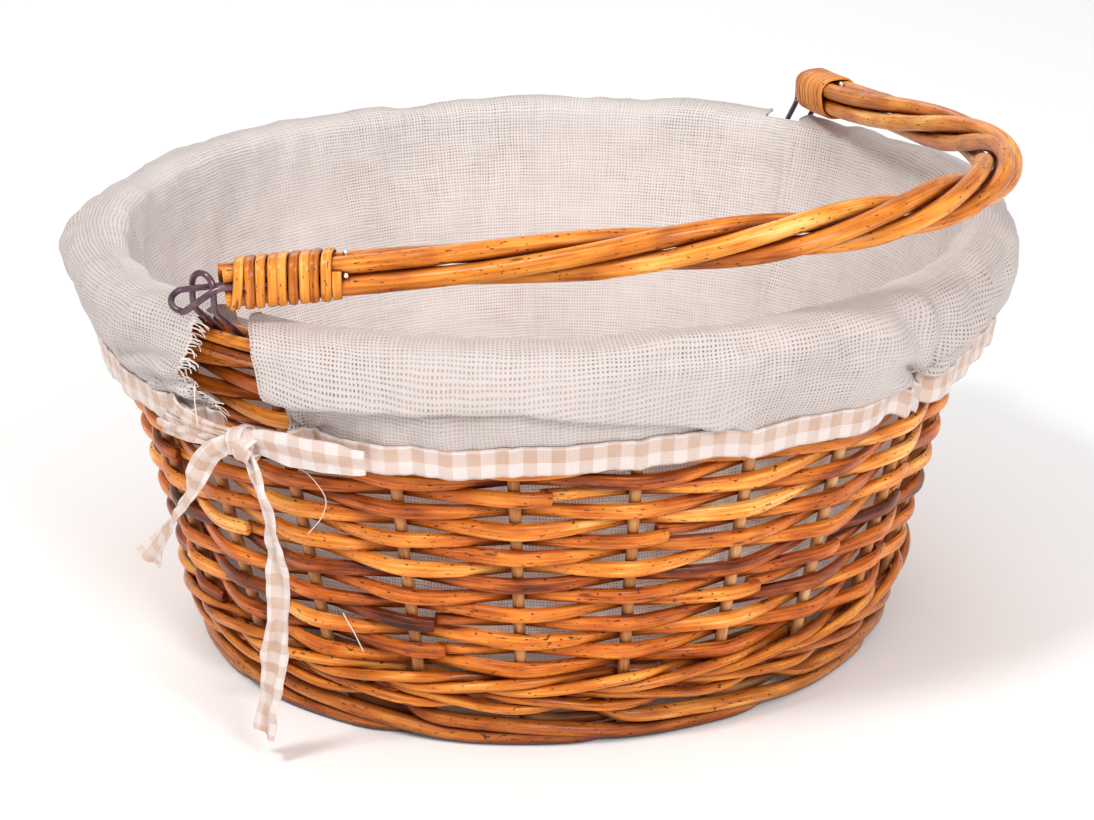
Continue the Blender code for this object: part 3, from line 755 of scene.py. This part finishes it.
def fold_height(angle, length):
    """Height of the folds, puckers and sags at plan angles and arc lengths past the crest."""
    total = np.zeros(np.shape(length))
    for a0, s0, a1, s1, width, height in FOLDS:
        along = np.array([angle_gap(a1, a0) * CUFF_DEGREE, s1 - s0])
        reach = np.linalg.norm(along)
        heading = along / reach
        dx, dy = angle_gap(angle, a0) * CUFF_DEGREE, length - s0
        t = (dx * heading[0] + dy * heading[1]) / reach
        off = -dx * heading[1] + dy * heading[0]
        ends = np.clip(1 - np.abs(2 * t - 1) ** 3, 0, 1) * (t > 0) * (t < 1)
        total = total + height * ends * (gauss(off, width) - 0.7 * gauss(off - 1.4 * width, 0.8 * width))
    for a0, s0, reach, height, count in PUCKERS:
        dx, dy = angle_gap(angle, a0) * CUFF_DEGREE, length - s0
        far = np.hypot(dx, dy)
        rays = np.sin(count * np.arctan2(dy, dx) + 1.0) * np.clip(far / 5, 0, 1)
        total = total + height * (rays * gauss(far, reach) - 0.9 * gauss(far, 0.3 * reach))
    for a0, s0, reach, height in SAGS:
        far = np.hypot(angle_gap(angle, a0) * CUFF_DEGREE, 1.6 * (length - s0))
        total = total + height * gauss(far, reach)
    return total


def liner_profile():
    """(radius, height) along the cloth from the middle of the floor over the rim, evenly spaced."""
    inside = [(4.0, LINER_FLOOR), (60.0, LINER_FLOOR), (110.0, LINER_FLOOR), (128.0, LINER_FLOOR + 0.4)]
    corner = [(wall_radius(33) - LINER_INSET - 2.2, 33.0)]
    wall = [(wall_radius(height) - LINER_INSET - sag, height) for height, sag in
            ((45, 0.4), (80, 1.2), (120, 1.0), (150, 0.3))]
    inner = resample(smooth(inside + corner + wall + list(CUFF[:2]), 10), 2.6)
    cuff = smooth(list(CUFF), 10)
    return np.vstack([inner[:-1], resample(cuff[10:], 1.25)])


def edge_angles(row_length, side):
    """Degrees from a slot to the cuff's frayed edge (side +1) or its hemmed edge (side -1)."""
    places, gaps = zip(*(FRAYED_EDGE if side > 0 else HEMMED_EDGE))
    ragged = 0.12 * np.sin(row_length * 2.3) + 0.1 * np.sin(row_length * 1.1) if side > 0 else 0.0
    return np.interp(row_length, places, gaps) + ragged


def crease_fold(angle, length):
    """The front cuff's overhang above its crease: how far it stands out, and how far it hangs down."""
    angles, places = zip(*CREASE)
    off = length - np.interp(angle, angles, places)
    here = np.clip((angle - 183) / 8, 0, 1) * np.clip((244 - angle) / 6, 0, 1)
    under = eased(np.clip((off + 1.5) / 4.5, 0, 1))
    above = here * gauss(np.minimum(off, 0), 9.0) * (1 - under)
    below = here * gauss(np.maximum(off - 3, 0), 9.0) * under
    return 3.4 * above - 3.8 * below, 6.0 * above


FRINGE_THREADS = 75
LOOSE_THREADS = (
    [(-184.0, -27.0, 120.0), (-182.5, -32.5, 116.5), (-179.5, -36.0, 108.5), (-178.0, -32.5, 100.0),
     (-177.0, -24.5, 91.0)],
    [(-200.5, 6.5, 150.0), (-202.0, 5.5, 143.0), (-202.0, 4.5, 134.0)],
    [(-168.5, -33.0, 58.5), (-167.0, -34.3, 54.0), (-165.5, -35.6, 50.0), (-163.0, -37.7, 42.0)],
    [(-189.0, -41.0, 135.0), (-188.5, -42.5, 130.0), (-187.0, -42.5, 123.5)],
    [(196.5, 10.0, 132.0), (199.0, 2.0, 122.0), (198.0, -8.0, 104.0), (197.0, -14.0, 96.0)],
)


def leaning_columns(past):
    """Plan angles of the liner's columns. Those beside each slot lean with the cuff's own edges."""
    angle = np.repeat(COLUMN_ANGLES[:, None], len(past), axis=1)
    for slot in (180.0, 0.0):
        gap = angle_gap(angle, slot)
        for side in (1, -1):
            shift = edge_angles(np.maximum(past, 0)[None, :], side) - SLOT_EDGE
            mine = (np.sign(gap) == -side) & (np.abs(gap) < LEAN_REACH)
            away = np.abs(gap)
            fade = np.clip((LEAN_REACH - away) / (LEAN_REACH - SLOT_EDGE), 0, 1) ** 2
            fade = np.where(away < SLOT_EDGE, away / SLOT_EDGE, fade)
            angle = np.where(mine, angle - side * shift * fade, angle)
    return angle


def liner_bulge(points, angle, past):
    """How far the cloth stands off its smooth shape, and how far it hangs down."""
    flat = points.reshape(-1, 3)

    def rumple(size, seed, stretch=(1, 1, 1)):
        return cloth_noise(flat * stretch, size, seed).reshape(angle.shape)

    broad, fine, streak = rumple(48.0, 3.0), rumple(17.0, 9.0), rumple(9.0, 5.0, (1, 1, 0.35))
    ridges = 1.5 - 2.4 * np.abs(rumple(27.0, 21.0)) - 1.4 * np.abs(rumple(13.0, 31.0))
    on_cuff = 1 / (1 + np.exp(-(past + 6) / 4))
    on_wall = (1 - on_cuff) * np.clip((points[..., 2] - 33) / 20, 0, 1)
    free_fall = np.clip(past / 25, 0, 1) * np.clip((52 - past) / 14, 0, 1)
    gather = np.clip((past - 30) / 18, 0, 1)
    bulge = on_cuff * (2.3 * broad + 1.2 * fine + 0.8 * ridges) + free_fall * 2.0 * broad
    bulge += gather * (1.2 * streak + 0.7 * np.sin(np.radians(angle) * 190 + 6 * broad) * streak)
    slack = 1 + 1.2 * gauss(angle_gap(angle, 150.0), 25.0)
    bulge += on_wall * slack * (2.6 * broad + 0.9 * fine + 0.6 * ridges)
    out, down = crease_fold(angle, past)
    bulge += (fold_height(angle, past) + out) * on_cuff
    for seam in SEAMS:
        across = np.abs(angle_gap(angle, seam)) * 3.0
        bulge += on_wall * (0.7 * gauss(across - 2.0, 1.4) - 0.7 * gauss(across, 0.9))
    # the cloth lies close beside the handle's ends, which pass over it
    anchor = np.minimum(np.abs(angle_gap(angle, 180.0)), np.abs(angle_gap(angle, 0.0)))
    close = np.clip((anchor - 4) / 10, 0, 1) + np.clip((np.abs(past) - 14) / 10, 0, 1)
    bulge = np.where(bulge > 0, bulge * np.clip(close, 0.12, 1) * (1 - 0.45 * gauss(past, 9.0)), bulge)
    # inside, it hangs in from the wall and is never pushed into the willow
    bulge = np.where(on_cuff > 0.5, bulge, np.clip(bulge, -1.5, 6))
    # and outside, it stays off the willow
    dent = DEEPEST_DENT * np.tanh(np.abs(bulge) / DEEPEST_DENT)
    return np.where((on_cuff > 0.5) & (bulge < 0), -dent, bulge), down * on_cuff


def turned(flat, angle):
    """Directions in space from (out, up) ones along the profile."""
    turn = np.radians(angle)
    flat = flat / np.linalg.norm(flat, axis=1, keepdims=True)
    return np.stack([flat[:, 0] * np.cos(turn), flat[:, 0] * np.sin(turn),
                     np.broadcast_to(flat[:, 1], turn.shape)], axis=-1)


def build_liner():
    """One cloth over the wall and the rim, its edges beside the slots, and the frayed one's threads.

    It gives the points and plan angles of the cuff's lower edge.
    """
    profile = liner_profile()
    rows = len(profile)
    lengths = arc_lengths(profile)
    crest = int(np.argmax(profile[:, 1]))
    past = lengths - lengths[crest]
    angle = leaning_columns(past)
    points = oval(profile[:, 0], angle, profile[:, 1])
    slope = np.gradient(profile, axis=0)
    normals = unit(turned(np.stack([-slope[:, 1], slope[:, 0]], axis=1), angle))
    bulge, down = liner_bulge(points, angle, past)
    points = points + normals * bulge[..., None] + turned(slope, angle) * down[..., None]
    # the slots start inside the rim and run to the cloth's edge
    last_row = np.full(COLUMNS, rows - 1)
    lips = [int(np.argmin(np.abs(profile[:crest, 1] - height))) for height in LIP_HEIGHTS]
    for slot, lip in zip((180.0, 0.0), lips):
        last_row[np.abs(angle_gap(COLUMN_ANGLES + 180.0 / COLUMNS, slot)) < SLOT_EDGE] = lip
    centre = COLUMNS * rows
    vertices = np.vstack([points.reshape(-1, 3), [[0, 0, LINER_FLOOR]]])
    floor_rows = int(np.argmax(profile[:, 0] > FLOOR_PANEL))
    faces, uvs = [], []
    for column in range(COLUMNS):
        here, after = column * rows, (column + 1) % COLUMNS * rows
        u0, u1 = (LINER_DEGREE * 360.0 * place / COLUMNS for place in (column, column + 1))
        for row in range(last_row[column]):
            face = (here + row, after + row, after + row + 1, here + row + 1)
            v0, v1 = lengths[row], lengths[row + 1]
            faces.append(face)
            if row < floor_rows:
                uvs += vertices[list(face), :2].tolist()
            else:
                uvs += [(u0, v0), (u1, v0), (u1, v1), (u0, v1)]
        faces.append((centre, after, here))
        uvs += vertices[[centre, after, here], :2].tolist()
    used = np.zeros(len(vertices), bool)
    used[[corner for face in faces for corner in face]] = True
    renumber = (np.cumsum(used) - 1).tolist()
    faces = [[renumber[corner] for corner in face] for face in faces]
    # 1 inside the wall and 0 on the cuff: the wall's sheerness, and where its cloth gets painted light
    sheer_and_painted_light = np.append(np.tile(np.clip(-past / 12, 0, 1), COLUMNS), 1.0)
    make_piece("liner", (vertices[used], faces, uvs), "linen", sheer_and_painted_light[used],
               replaces=("liner_wall", "liner_floor", "liner_cuff_front", "liner_cuff_back"))
    edges = [column for column in range(COLUMNS) if last_row[column] != last_row[column - 1]]
    frayed = next(column for column in edges if last_row[column] == lips[0])
    hems = [tube(resample(points[column, crest - 4:], 1.5), THREAD_OUT, circle(EDGE_ROLL, 8))
            for column in edges if column != frayed]
    make_piece("liner_edges", joined(hems), "linen", [0.0])
    build_fringe(points[frayed, crest:], normals[frayed, crest:])
    return points[:, -1], angle[:, -1]


def build_fringe(edge, normals):
    """Ends of thread along the raw edge beside the near slot, and a few long loose ones."""
    parts = []
    for _ in range(FRINGE_THREADS):
        row = random.randrange(4, len(edge) - 1)
        out = -unit(normals[row])
        start = edge[row] + np.array([0.0, 1.6, random.uniform(-0.4, 0.4)])
        reach = random.uniform(1.5, 6.5)
        droop = random.uniform(-0.5, 2.5)
        points = [start, start + [0, -1.2 - 0.3 * reach, 0.2 * droop] + out * 0.3,
                  start + [0, -1.6 - 0.7 * reach, -0.3 * droop] + out * random.uniform(0, 1.2),
                  start + [0, -1.6 - reach, -droop] + out * random.uniform(-0.8, 1.5)]
        parts.append(tube(smooth(points, 3), THREAD_OUT, circle(random.uniform(0.25, 0.5), 5)))
    parts += [tube(smooth(points, 6), THREAD_OUT, circle(0.45, 5)) for points in LOOSE_THREADS]
    make_piece("loose_threads", joined(parts), "linen", material="thread")


# Down the binding: share of its height, and how far it stands out
TRIM_SECTION = ((1.0, 0.6), (0.88, 1.0), (0.7, 1.2), (0.5, 1.1), (0.3, 1.0), (0.1, 1.2), (-0.02, 1.3),
                (-0.1, 0.9))


def build_trims(edge_points, edge_angle):
    """The gingham binding sewn to the cuff's lower edge, gathered a little."""
    for name, slot in (("gingham_trim_front", 270.0), ("gingham_trim_back", 90.0)):
        gap = angle_gap(COLUMN_ANGLES, slot)
        mine = np.flatnonzero(np.abs(gap) <= 90.0 - SLOT_EDGE + 1e-6)
        mine = mine[np.argsort(gap[mine])]
        top = edge_points[mine]
        turn = np.radians(edge_angle[mine])
        out = unit(np.stack([np.cos(turn), np.sin(turn), np.zeros(len(mine))], axis=1))
        wave, ripple = cloth_noise(top, 11.0, 0.0), cloth_noise(top, 4.5, 0.0)
        strips = []
        for share, bulge in TRIM_SECTION:
            strip = top + out * (bulge - 1.6 * share + 0.9 * wave * share + 0.35 * ripple)[:, None]
            strip[:, 2] = top[:, 2] - TRIM_HEIGHT * (share + 0.03 * wave)
            strips.append(strip)
        down = [share * TRIM_HEIGHT for share, _ in TRIM_SECTION]
        shape = rings_shape(np.stack(strips, axis=1), arc_lengths(top), down, sheet=True)
        shell = make_piece(name, shape, "gingham").modifiers.new("thickness", "SOLIDIFY")
        shell.thickness = 1.1 * MM
        shell.offset = 0.0


# ---------------------------------------------------------------- bows


def spread(share, values):
    """Values spaced evenly along a tape, read at shares of its length."""
    values = np.atleast_1d(values)
    return np.interp(share, np.linspace(0, 1, len(values)), values)


def ribbon(path, outward, width, thickness=1.0, crumple=0.5, samples=9, tilt=0.0):
    """A flat crumpled tape that stands square to the outward directions."""
    both = smooth(np.hstack([path, np.broadcast_to(outward, np.shape(path))]), 10)
    raw = arc_lengths(both[:, :3])
    places = np.linspace(0, raw[-1], max(int(raw[-1] / 1.6), 6) + 1)
    both = read_at(places, raw, both)
    path, outward = both[:, :3], unit(both[:, 3:])
    lengths = arc_lengths(path)
    share = lengths / lengths[-1]
    tangent = unit(np.gradient(path, axis=0))
    side = unit(np.cross(outward, tangent))
    out = np.cross(tangent, side)
    lean = np.radians(spread(share, tilt))[:, None]
    side, out = side * np.cos(lean) + out * np.sin(lean), out * np.cos(lean) - side * np.sin(lean)
    wide = spread(share, width)[:, None]
    across = np.linspace(-0.5, 0.5, samples)
    across = np.concatenate([across, across[::-1]])
    depth = thickness * np.repeat([0.5, -0.5], samples) * (1 - 0.55 * np.abs(2 * across) ** 6)
    start = random.uniform(0, 100)
    dents = np.array([[noise.noise(Vector((start, length / 7.0, place * 2.2))) for place in across]
                      for length in lengths])
    lift = depth + crumple * (dents + 0.35 * np.cos(across * 9 + start))
    points = path[:, None] + side[:, None] * (across * wide)[..., None] + out[:, None] * lift[..., None]
    return rings_shape(points, lengths, np.append(across, across[0]) * wide + 2.5,
                       end_uvs=np.zeros((2 * samples, 2)))


def knot_shape(centre, out, size):
    """A lumpy knot: bands of tape drawn tight, as a ball with grooves round it."""
    columns, rows = 40, 24
    side = unit(np.cross(out, UP))
    lat, lon = np.meshgrid(np.pi * np.arange(rows + 1) / rows, 2 * np.pi * np.arange(columns) / columns,
                           indexing="ij")
    x, y, z = np.sin(lat) * np.cos(lon), np.sin(lat) * np.sin(lon), np.cos(lat)
    ball = np.stack([x, y, z], axis=-1)
    groove = 0.10 * np.sin(5.5 * z + 2.5 * x) + 0.06 * np.sin(9 * y + 4 * z)
    bumps = cloth_noise((ball * 1.7 + [0, 0, centre[0]]).reshape(-1, 3), 1.0, 0.0).reshape(x.shape)
    lump = 1 + groove + 0.16 * bumps
    points = centre + (ball * size) @ np.array([out, side, UP]) * lump[..., None]
    return rings_shape(points, np.arange(rows + 1) * 0.9, np.arange(columns + 1) * 1.1)


def half_turn(points):
    return np.asarray(points, float) * [-1, -1, 1]


def build_bows():
    """A knotted tie under each slot: gathered strip, strap, knot, and two loose tails."""
    for name, side in reversed(SIDES):
        place = np.asarray if side > 0 else half_turn
        out = np.array([side * 1.0, 0.0, 0.0])
        knot = place(np.array([196.5, 13.0, 130.0]))
        parts = [knot_shape(knot, out, (3.4, 5.6, 5.2))]
        for lean, shift, girth in ((0.35, -0.6, 1.0), (-0.5, 1.2, 0.92)):
            turns = np.linspace(-0.6, 2 * math.pi + 0.5, 15)
            axis = unit(np.array([0.0, side * 1.0, lean]))
            up = unit(np.cross(out, axis))
            radial = [out * math.cos(turn) + up * math.sin(turn) for turn in turns]
            band = [knot + axis * (shift + 0.35 * turn) + ray * girth * (4.4 + 1.4 * abs(math.sin(turn)))
                    for ray, turn in zip(radial, turns)]
            parts.append(ribbon(band, np.array(radial), (6.5, 7.5, 7.0, 7.5, 6.5), thickness=1.2,
                                crumple=0.9))
        strap = place([(196, 14, 130.5), (196.5, 24, 131.8), (194.5, 38, 131.2), (190.5, 52, 130.8),
                       (187, 62, 130.4)])
        parts.append(ribbon(strap, outward_at(np.degrees(np.arctan2(strap[0][1], strap[0][0]))),
                            (8.0, 12.0, 13.5, 13.0, 12.5, 9.5), thickness=1.6, crumple=0.9))
        long_tail = place([(197, 14, 129), (199, 21, 118), (199, 27, 103), (197.5, 28, 86), (195, 25, 66),
                           (193, 20, 44), (192, 16, 26), (192.5, 13, 12)])
        parts.append(ribbon(long_tail, out, (6.0, 10.5, 12.5, 9.5, 7.5, 10.5, 10.5, 12.0), crumple=1.7,
                            tilt=(0, 25, 30, -15, -45, -20, 5, 10)))
        short_tail = place([(197, 12, 131), (200, 5, 128), (200.5, -4, 120), (199, -12, 108),
                            (197.5, -22, 94), (196.5, -33, 80), (195, -42, 70)])
        parts.append(ribbon(short_tail, out, (6.0, 9.0, 9.0, 7.0, 6.0, 8.0, 11.5), crumple=1.7,
                            tilt=(0, -40, -20, 25, 40, 10, -15)))
        make_piece(f"tie_bow_{name}", joined(parts), "gingham", sharp=60.0)
        gathered = []
        for fold in range(4):
            rise = 3.0 * (fold - 1.5)
            path = place([(192.0, -34 + 2 * fold, 131 + rise * 1.3), (196.0, -20, 131 + rise * 1.0),
                          (197.5 + 0.5 * fold, -8, 131 + rise * 0.7), (197.0, 9, 130.5 + rise * 0.35)])
            gathered.append(ribbon(path, out, (6.0, 5.5, 5.0, 3.5), thickness=1.4, crumple=1.1,
                                   tilt=(30 - 15 * fold, 10, -20 + 10 * fold, 0)))
        make_piece(f"gathered_tie_{name}", joined(gathered), "gingham", sharp=60.0)


# ---------------------------------------------------------------- handle

HANDLE_TILT = 6.5
HANDLE_END = 46.0
HANDLE_REACH = 191.5
LEG_PULL = 107.0
APEX_PULL = 101.0
ROD_SETBACK = 6.2
WRAP_START = 11.0
WRAP_TURNS = 9
WRAP_PITCH = 3.9
WRAP_STRIP = 3.65
TWIST_TURNS = 2.0
# For each rod: rings cut off at the left and right end, and its tint
HANDLE_RODS = (((1, 2), 0.62), ((0, 1), 0.5), ((2, 0), 0.72), ((1, 1), 0.58))
CUT_TINT = 0.95
EYE_REACH = 11.5
EYE_WIDTH = 9.6
EYE_ROLL = -40.0
EYE_GROOVE = 7.3


def handle_space(along, out, above=0.0):
    """Points from handle coordinates: along the hinge, out to the apex, above the handle's plane."""
    tilt = math.radians(HANDLE_TILT)
    along, out, above = np.broadcast_arrays(along, out, above)
    return np.stack([along, -out * math.cos(tilt) + above * math.sin(tilt),
                     PIVOT_HEIGHT + out * math.sin(tilt) + above * math.cos(tilt)], axis=-1).astype(float)


def handle_line(samples=240):
    """The handle's middle line and tangents, in its own plane, from the left cut end to the right."""
    heading = np.array([math.cos(math.radians(HANDLE_END)), math.sin(math.radians(HANDLE_END))])
    start = np.array([-PIVOT_SPAN, 0.0]) + heading * ROD_SETBACK
    cage = np.array([start, start + heading * LEG_PULL, (-APEX_PULL, HANDLE_REACH), (0.0, HANDLE_REACH)])
    t = np.linspace(0, 1, samples // 2 + 1)[:, None]
    s = 1 - t
    half = cage[0] * s**3 + cage[1] * 3 * s * s * t + cage[2] * 3 * s * t * t + cage[3] * t**3
    other = (half * [-1, 1])[::-1][1:]
    points = resample(np.vstack([half, other]), 2.0)
    return points, unit(np.gradient(points, axis=0)), arc_lengths(points)


def line_frame(distance, side):
    """Centre, outward and above directions at distances from the cut ends on one side."""
    points, tangents, lengths = handle_line()
    along = distance if side < 0 else lengths[-1] - distance
    x, y, tx, ty = read_at(along, lengths, np.hstack([points, tangents])).T
    centre = handle_space(x, y)
    above = handle_space(x, y, 1.0) - centre
    outward = handle_space(x - ty, y + tx) - centre
    return centre, unit(outward), above


def build_handle():
    points, tangents, lengths = handle_line()
    wrapped = WRAP_START + WRAP_TURNS * WRAP_PITCH
    free = np.clip((lengths - wrapped) / (lengths[-1] - 2 * wrapped), 0, 1)
    normal = np.stack([-tangents[:, 1], tangents[:, 0]], axis=1)
    for number, ((cut_left, cut_right), shade) in enumerate(HANDLE_RODS):
        turn = np.radians(45 + 90 * number + 360 * TWIST_TURNS * eased(free))
        spread_out = HANDLE_OFFSET + 0.5 * np.sin(free * np.pi) * (1 + 0.4 * np.sin(free * 9 + number))
        flat = points + normal * (spread_out * np.cos(turn))[:, None]
        path = handle_space(flat[:, 0], flat[:, 1], spread_out * np.sin(turn))
        path = path[cut_left:len(path) - cut_right]
        share = np.linspace(0, 1, len(path))
        knots = sum(0.07 * gauss(share - (place + step * number), 0.008)
                    for place, step in ((0.13, 0.05), (0.37, 0.06), (0.62, -0.04), (0.86, -0.03)))
        thick = 1 + 0.05 * (number - 1.5) * (1 - 2 * share)
        scale = (thick + knots) * (1 + wobble(len(path), 0.05, 10.0))
        tint = shade + wobble(len(path), 0.22, 22.0) - 1.6 * knots
        path, scale, up = cut_ends(path, scale, handle_space(0.0, 0.0, 1.0) - handle_space(0.0, 0.0), 0.5)
        tint = np.concatenate([[CUT_TINT], tint, [CUT_TINT]])
        make_piece(f"handle_rod_{number + 1}", tube(path, up, circle(HANDLE_ROD, 22), scale), "pale_willow",
                   tint, "handle", sharp=50.0)


def build_wraps():
    """A split strip wound round each end of the bundle, its turns lying side by side."""
    for name, side in SIDES:
        per_turn = 48
        turns = np.arange(-0.35 * per_turn, (WRAP_TURNS + 0.05) * per_turn) / per_turn
        angle = 2 * np.pi * turns
        advance = WRAP_START - ROD_SETBACK + WRAP_PITCH * (turns + 0.5)
        advance = advance + 0.28 * np.sin(angle * 0.37 + 1.0) + 0.15 * np.sin(angle + 0.6)
        advance = advance - 2.6 * gauss(turns + 0.35, 0.3)
        hug = 8.45 + 0.45 * np.cos(4 * (angle - np.pi / 4)) + 0.15
        tuck = 1.6 * np.clip(turns - WRAP_TURNS + 0.35, 0, 1) + 1.4 * np.clip(-turns - 0.05, 0, 1)
        centre, outward, above = line_frame(advance, side)
        radial = outward * np.cos(angle)[:, None] + above * np.sin(angle)[:, None]
        path = centre + radial * (hug - tuck)[:, None]
        section = half_round(WRAP_STRIP, 1.2, 10)
        scale = np.stack([np.ones(len(path)), 1 + wobble(len(path), 0.16, 30.0)], axis=1)
        path, scale, radial = cut_ends(path, scale, radial, 0.3)
        tint = 0.6 + wobble(len(path), 0.35, 40.0)
        make_piece(f"handle_wrap_{name}", tube(path, radial, section, scale), "pale_willow", tint, "handle",
                   sharp=55.0)


def end_frame(side):
    """The pivot at one side, and directions along the rod end, outward and above."""
    _, _, above = line_frame(0.0, side)
    heading = math.radians(HANDLE_END)
    pivot = handle_space(side * PIVOT_SPAN, 0.0)
    along = handle_space(side * (PIVOT_SPAN - math.cos(heading)), math.sin(heading)) - pivot
    return pivot, along, unit(np.cross(above, along) * side), above


def build_eyes():
    for name, side in SIDES:
        pivot, along, outward, above = end_frame(side)
        bend = EYE_WIDTH / 2
        roll = math.radians(EYE_ROLL)
        leaning = outward * math.cos(roll) + above * math.sin(roll)
        groove = [pivot + along * reach + outward * EYE_GROOVE for reach in (24.0, 14.0, ROD_SETBACK - 1.2)]
        nose_centre = pivot - along * (EYE_REACH - bend) + leaning * bend
        turns = np.linspace(0, np.pi, 9)
        nose = [nose_centre - along * bend * math.sin(turn) + leaning * bend * math.cos(turn)
                for turn in turns]
        core = [pivot + along * reach for reach in (ROD_SETBACK, 14.0, 24.0)]
        path = resample(smooth(groove + nose + core, 6), 0.8)
        make_piece(f"handle_eye_{name}", tube(path, above, circle(WIRE)), "coated_wire", body="handle",
                   sharp=60.0)


def build_rim_loops():
    leg = ((193.5, 159.4), (188.4, 160.2), (186.9, 163.6), (188.4, 167.2), (194.5, 173.0), (200.0, 178.4),
           (PIVOT_SPAN, 182.5))
    for name, side in SIDES:
        half = [(x, RIM_LOOP_RADIUS, z) for x, z in leg]
        arch = [(PIVOT_SPAN, RIM_LOOP_RADIUS * math.cos(turn),
                 PIVOT_HEIGHT + RIM_LOOP_RADIUS * math.sin(turn)) for turn in np.linspace(0.0, math.pi, 9)]
        points = np.array(half + arch + [(x, -y, z) for x, y, z in reversed(half)])
        points = points if side > 0 else half_turn(points)
        path = resample(smooth(points, 6), 0.8)
        make_piece(f"rim_loop_{name}", tube(path, (0.3, 0.9, 0.1), circle(WIRE)), "coated_wire", sharp=60.0)


def dome(centre, axis, radius, height):
    """A small nail head on a stub."""
    side = unit(np.cross(axis, THREAD_OUT))
    other = np.cross(axis, side)
    rings, sides = 7, 18
    turn = -2 * np.pi * np.arange(sides) / sides
    rim = radius * (side * np.cos(turn)[:, None] + other * np.sin(turn)[:, None])
    profile = [(1.0, -3.0 / height), (1.0, 0.0)]
    profile += [(math.cos(t), math.sin(t)) for t in np.linspace(0.2, 1.45, rings - 2)]
    points = np.stack([centre + rim * out + axis * height * up for out, up in profile])
    return rings_shape(points, np.zeros(rings), np.zeros(sides + 1), end_uvs=np.zeros((sides, 2)))


def build_pins():
    """Bright nail heads that hold the wrap's free end."""
    for name, side in SIDES:
        beside = WRAP_START - ROD_SETBACK + WRAP_TURNS * WRAP_PITCH + 5.5
        centre, outward, above = line_frame(beside, side)
        heads = [dome(centre + above * 7.4, above, 1.0, 0.7),
                 dome(centre + outward * 7.3 + above * 0.6, outward, 1.0, 0.7)]
        make_piece(f"wrap_pin_{name}", joined(heads), "steel_pin", body="handle", sharp=50.0)


# ---------------------------------------------------------------- stage

CAMERA_AZIMUTH = -52.7
CAMERA_ELEVATION = 19.9
CAMERA_DISTANCE = 1120.0
CAMERA_TARGET_HEIGHT = 83.0
CAMERA_LENS = 86.98
FLOOR_HALF = 6.0
ROOM_LIGHT = 0.66
LIGHT_TARGET = Vector((0, 0, 0.08))


def aim(obj, place, facing):
    """Puts a camera or a light at a place in metres, facing along a vector."""
    obj.location = place
    obj.rotation_mode = "QUATERNION"
    obj.rotation_quaternion = facing.to_track_quat("-Z", "Y")


def make_camera():
    turn, rise = math.radians(CAMERA_AZIMUTH), math.radians(CAMERA_ELEVATION)
    back = Vector((math.sin(turn) * math.cos(rise), -math.cos(turn) * math.cos(rise), math.sin(rise)))
    target = Vector(CENTRE) + Vector((0, 0, CAMERA_TARGET_HEIGHT))
    camera = bpy.data.cameras.new("camera")
    camera.lens = CAMERA_LENS
    camera.sensor_width = 36.0
    obj = add_object("camera", camera)
    aim(obj, (target + back * CAMERA_DISTANCE) * MM, -back)
    bpy.context.scene.camera = obj


def make_floor():
    mesh = bpy.data.meshes.new("floor")
    corners = [(FLOOR_HALF * x, FLOOR_HALF * y, 0) for x, y in ((-1, -1), (1, -1), (1, 1), (-1, 1))]
    mesh.from_pydata(corners, [], [(0, 1, 2, 3)])
    s = Shader("floor")
    haze = s.noise(s.place(), scale=2.0)
    colour = s.mix(haze, (0.96, 0.96, 0.96), (0.98, 0.98, 0.98))
    mesh.materials.append(s.finish(Base_Color=colour, Roughness=0.8, Specular_IOR_Level=0.2))
    add_object("floor", mesh)


def make_light(name, place, power, size, colour=(1.0, 1.0, 1.0)):
    light = bpy.data.lights.new(name, "AREA")
    light.energy = power
    light.size = size
    light.color = colour
    aim(add_object(name, light), place, LIGHT_TARGET - Vector(place))


def make_lights():
    world = bpy.data.worlds.new("studio")
    world.use_nodes = True
    tree = world.node_tree
    background = tree.nodes["Background"]
    background.inputs[0].default_value = (1.0, 1.0, 1.0, 1.0)
    # the camera sees a white room, which lights the basket more dimly
    path = tree.nodes.new("ShaderNodeLightPath")
    strength = tree.nodes.new("ShaderNodeMapRange")
    strength.inputs[3].default_value = ROOM_LIGHT
    strength.inputs[4].default_value = 1.0
    tree.links.new(path.outputs["Is Camera Ray"], strength.inputs[0])
    tree.links.new(strength.outputs[0], background.inputs[1])
    bpy.context.scene.world = world
    make_light("key", (-1.5, 0.1, 2.1), 27.0, 0.45, (1.0, 0.99, 0.97))
    make_light("front", (-0.9, -1.5, 1.15), 18.0, 0.5)
    make_light("rim", (1.2, 1.4, 1.5), 7.0, 1.0)
    bpy.context.scene.view_settings.view_transform = "Standard"


def build():
    build_stakes()
    build_siding()
    build_wale()
    build_foot()
    build_rim()
    build_base()
    build_trims(*build_liner())
    build_bows()
    build_rim_loops()
    build_handle()
    build_wraps()
    build_eyes()
    build_pins()
    make_floor()
    make_lights()
    make_camera()


build()
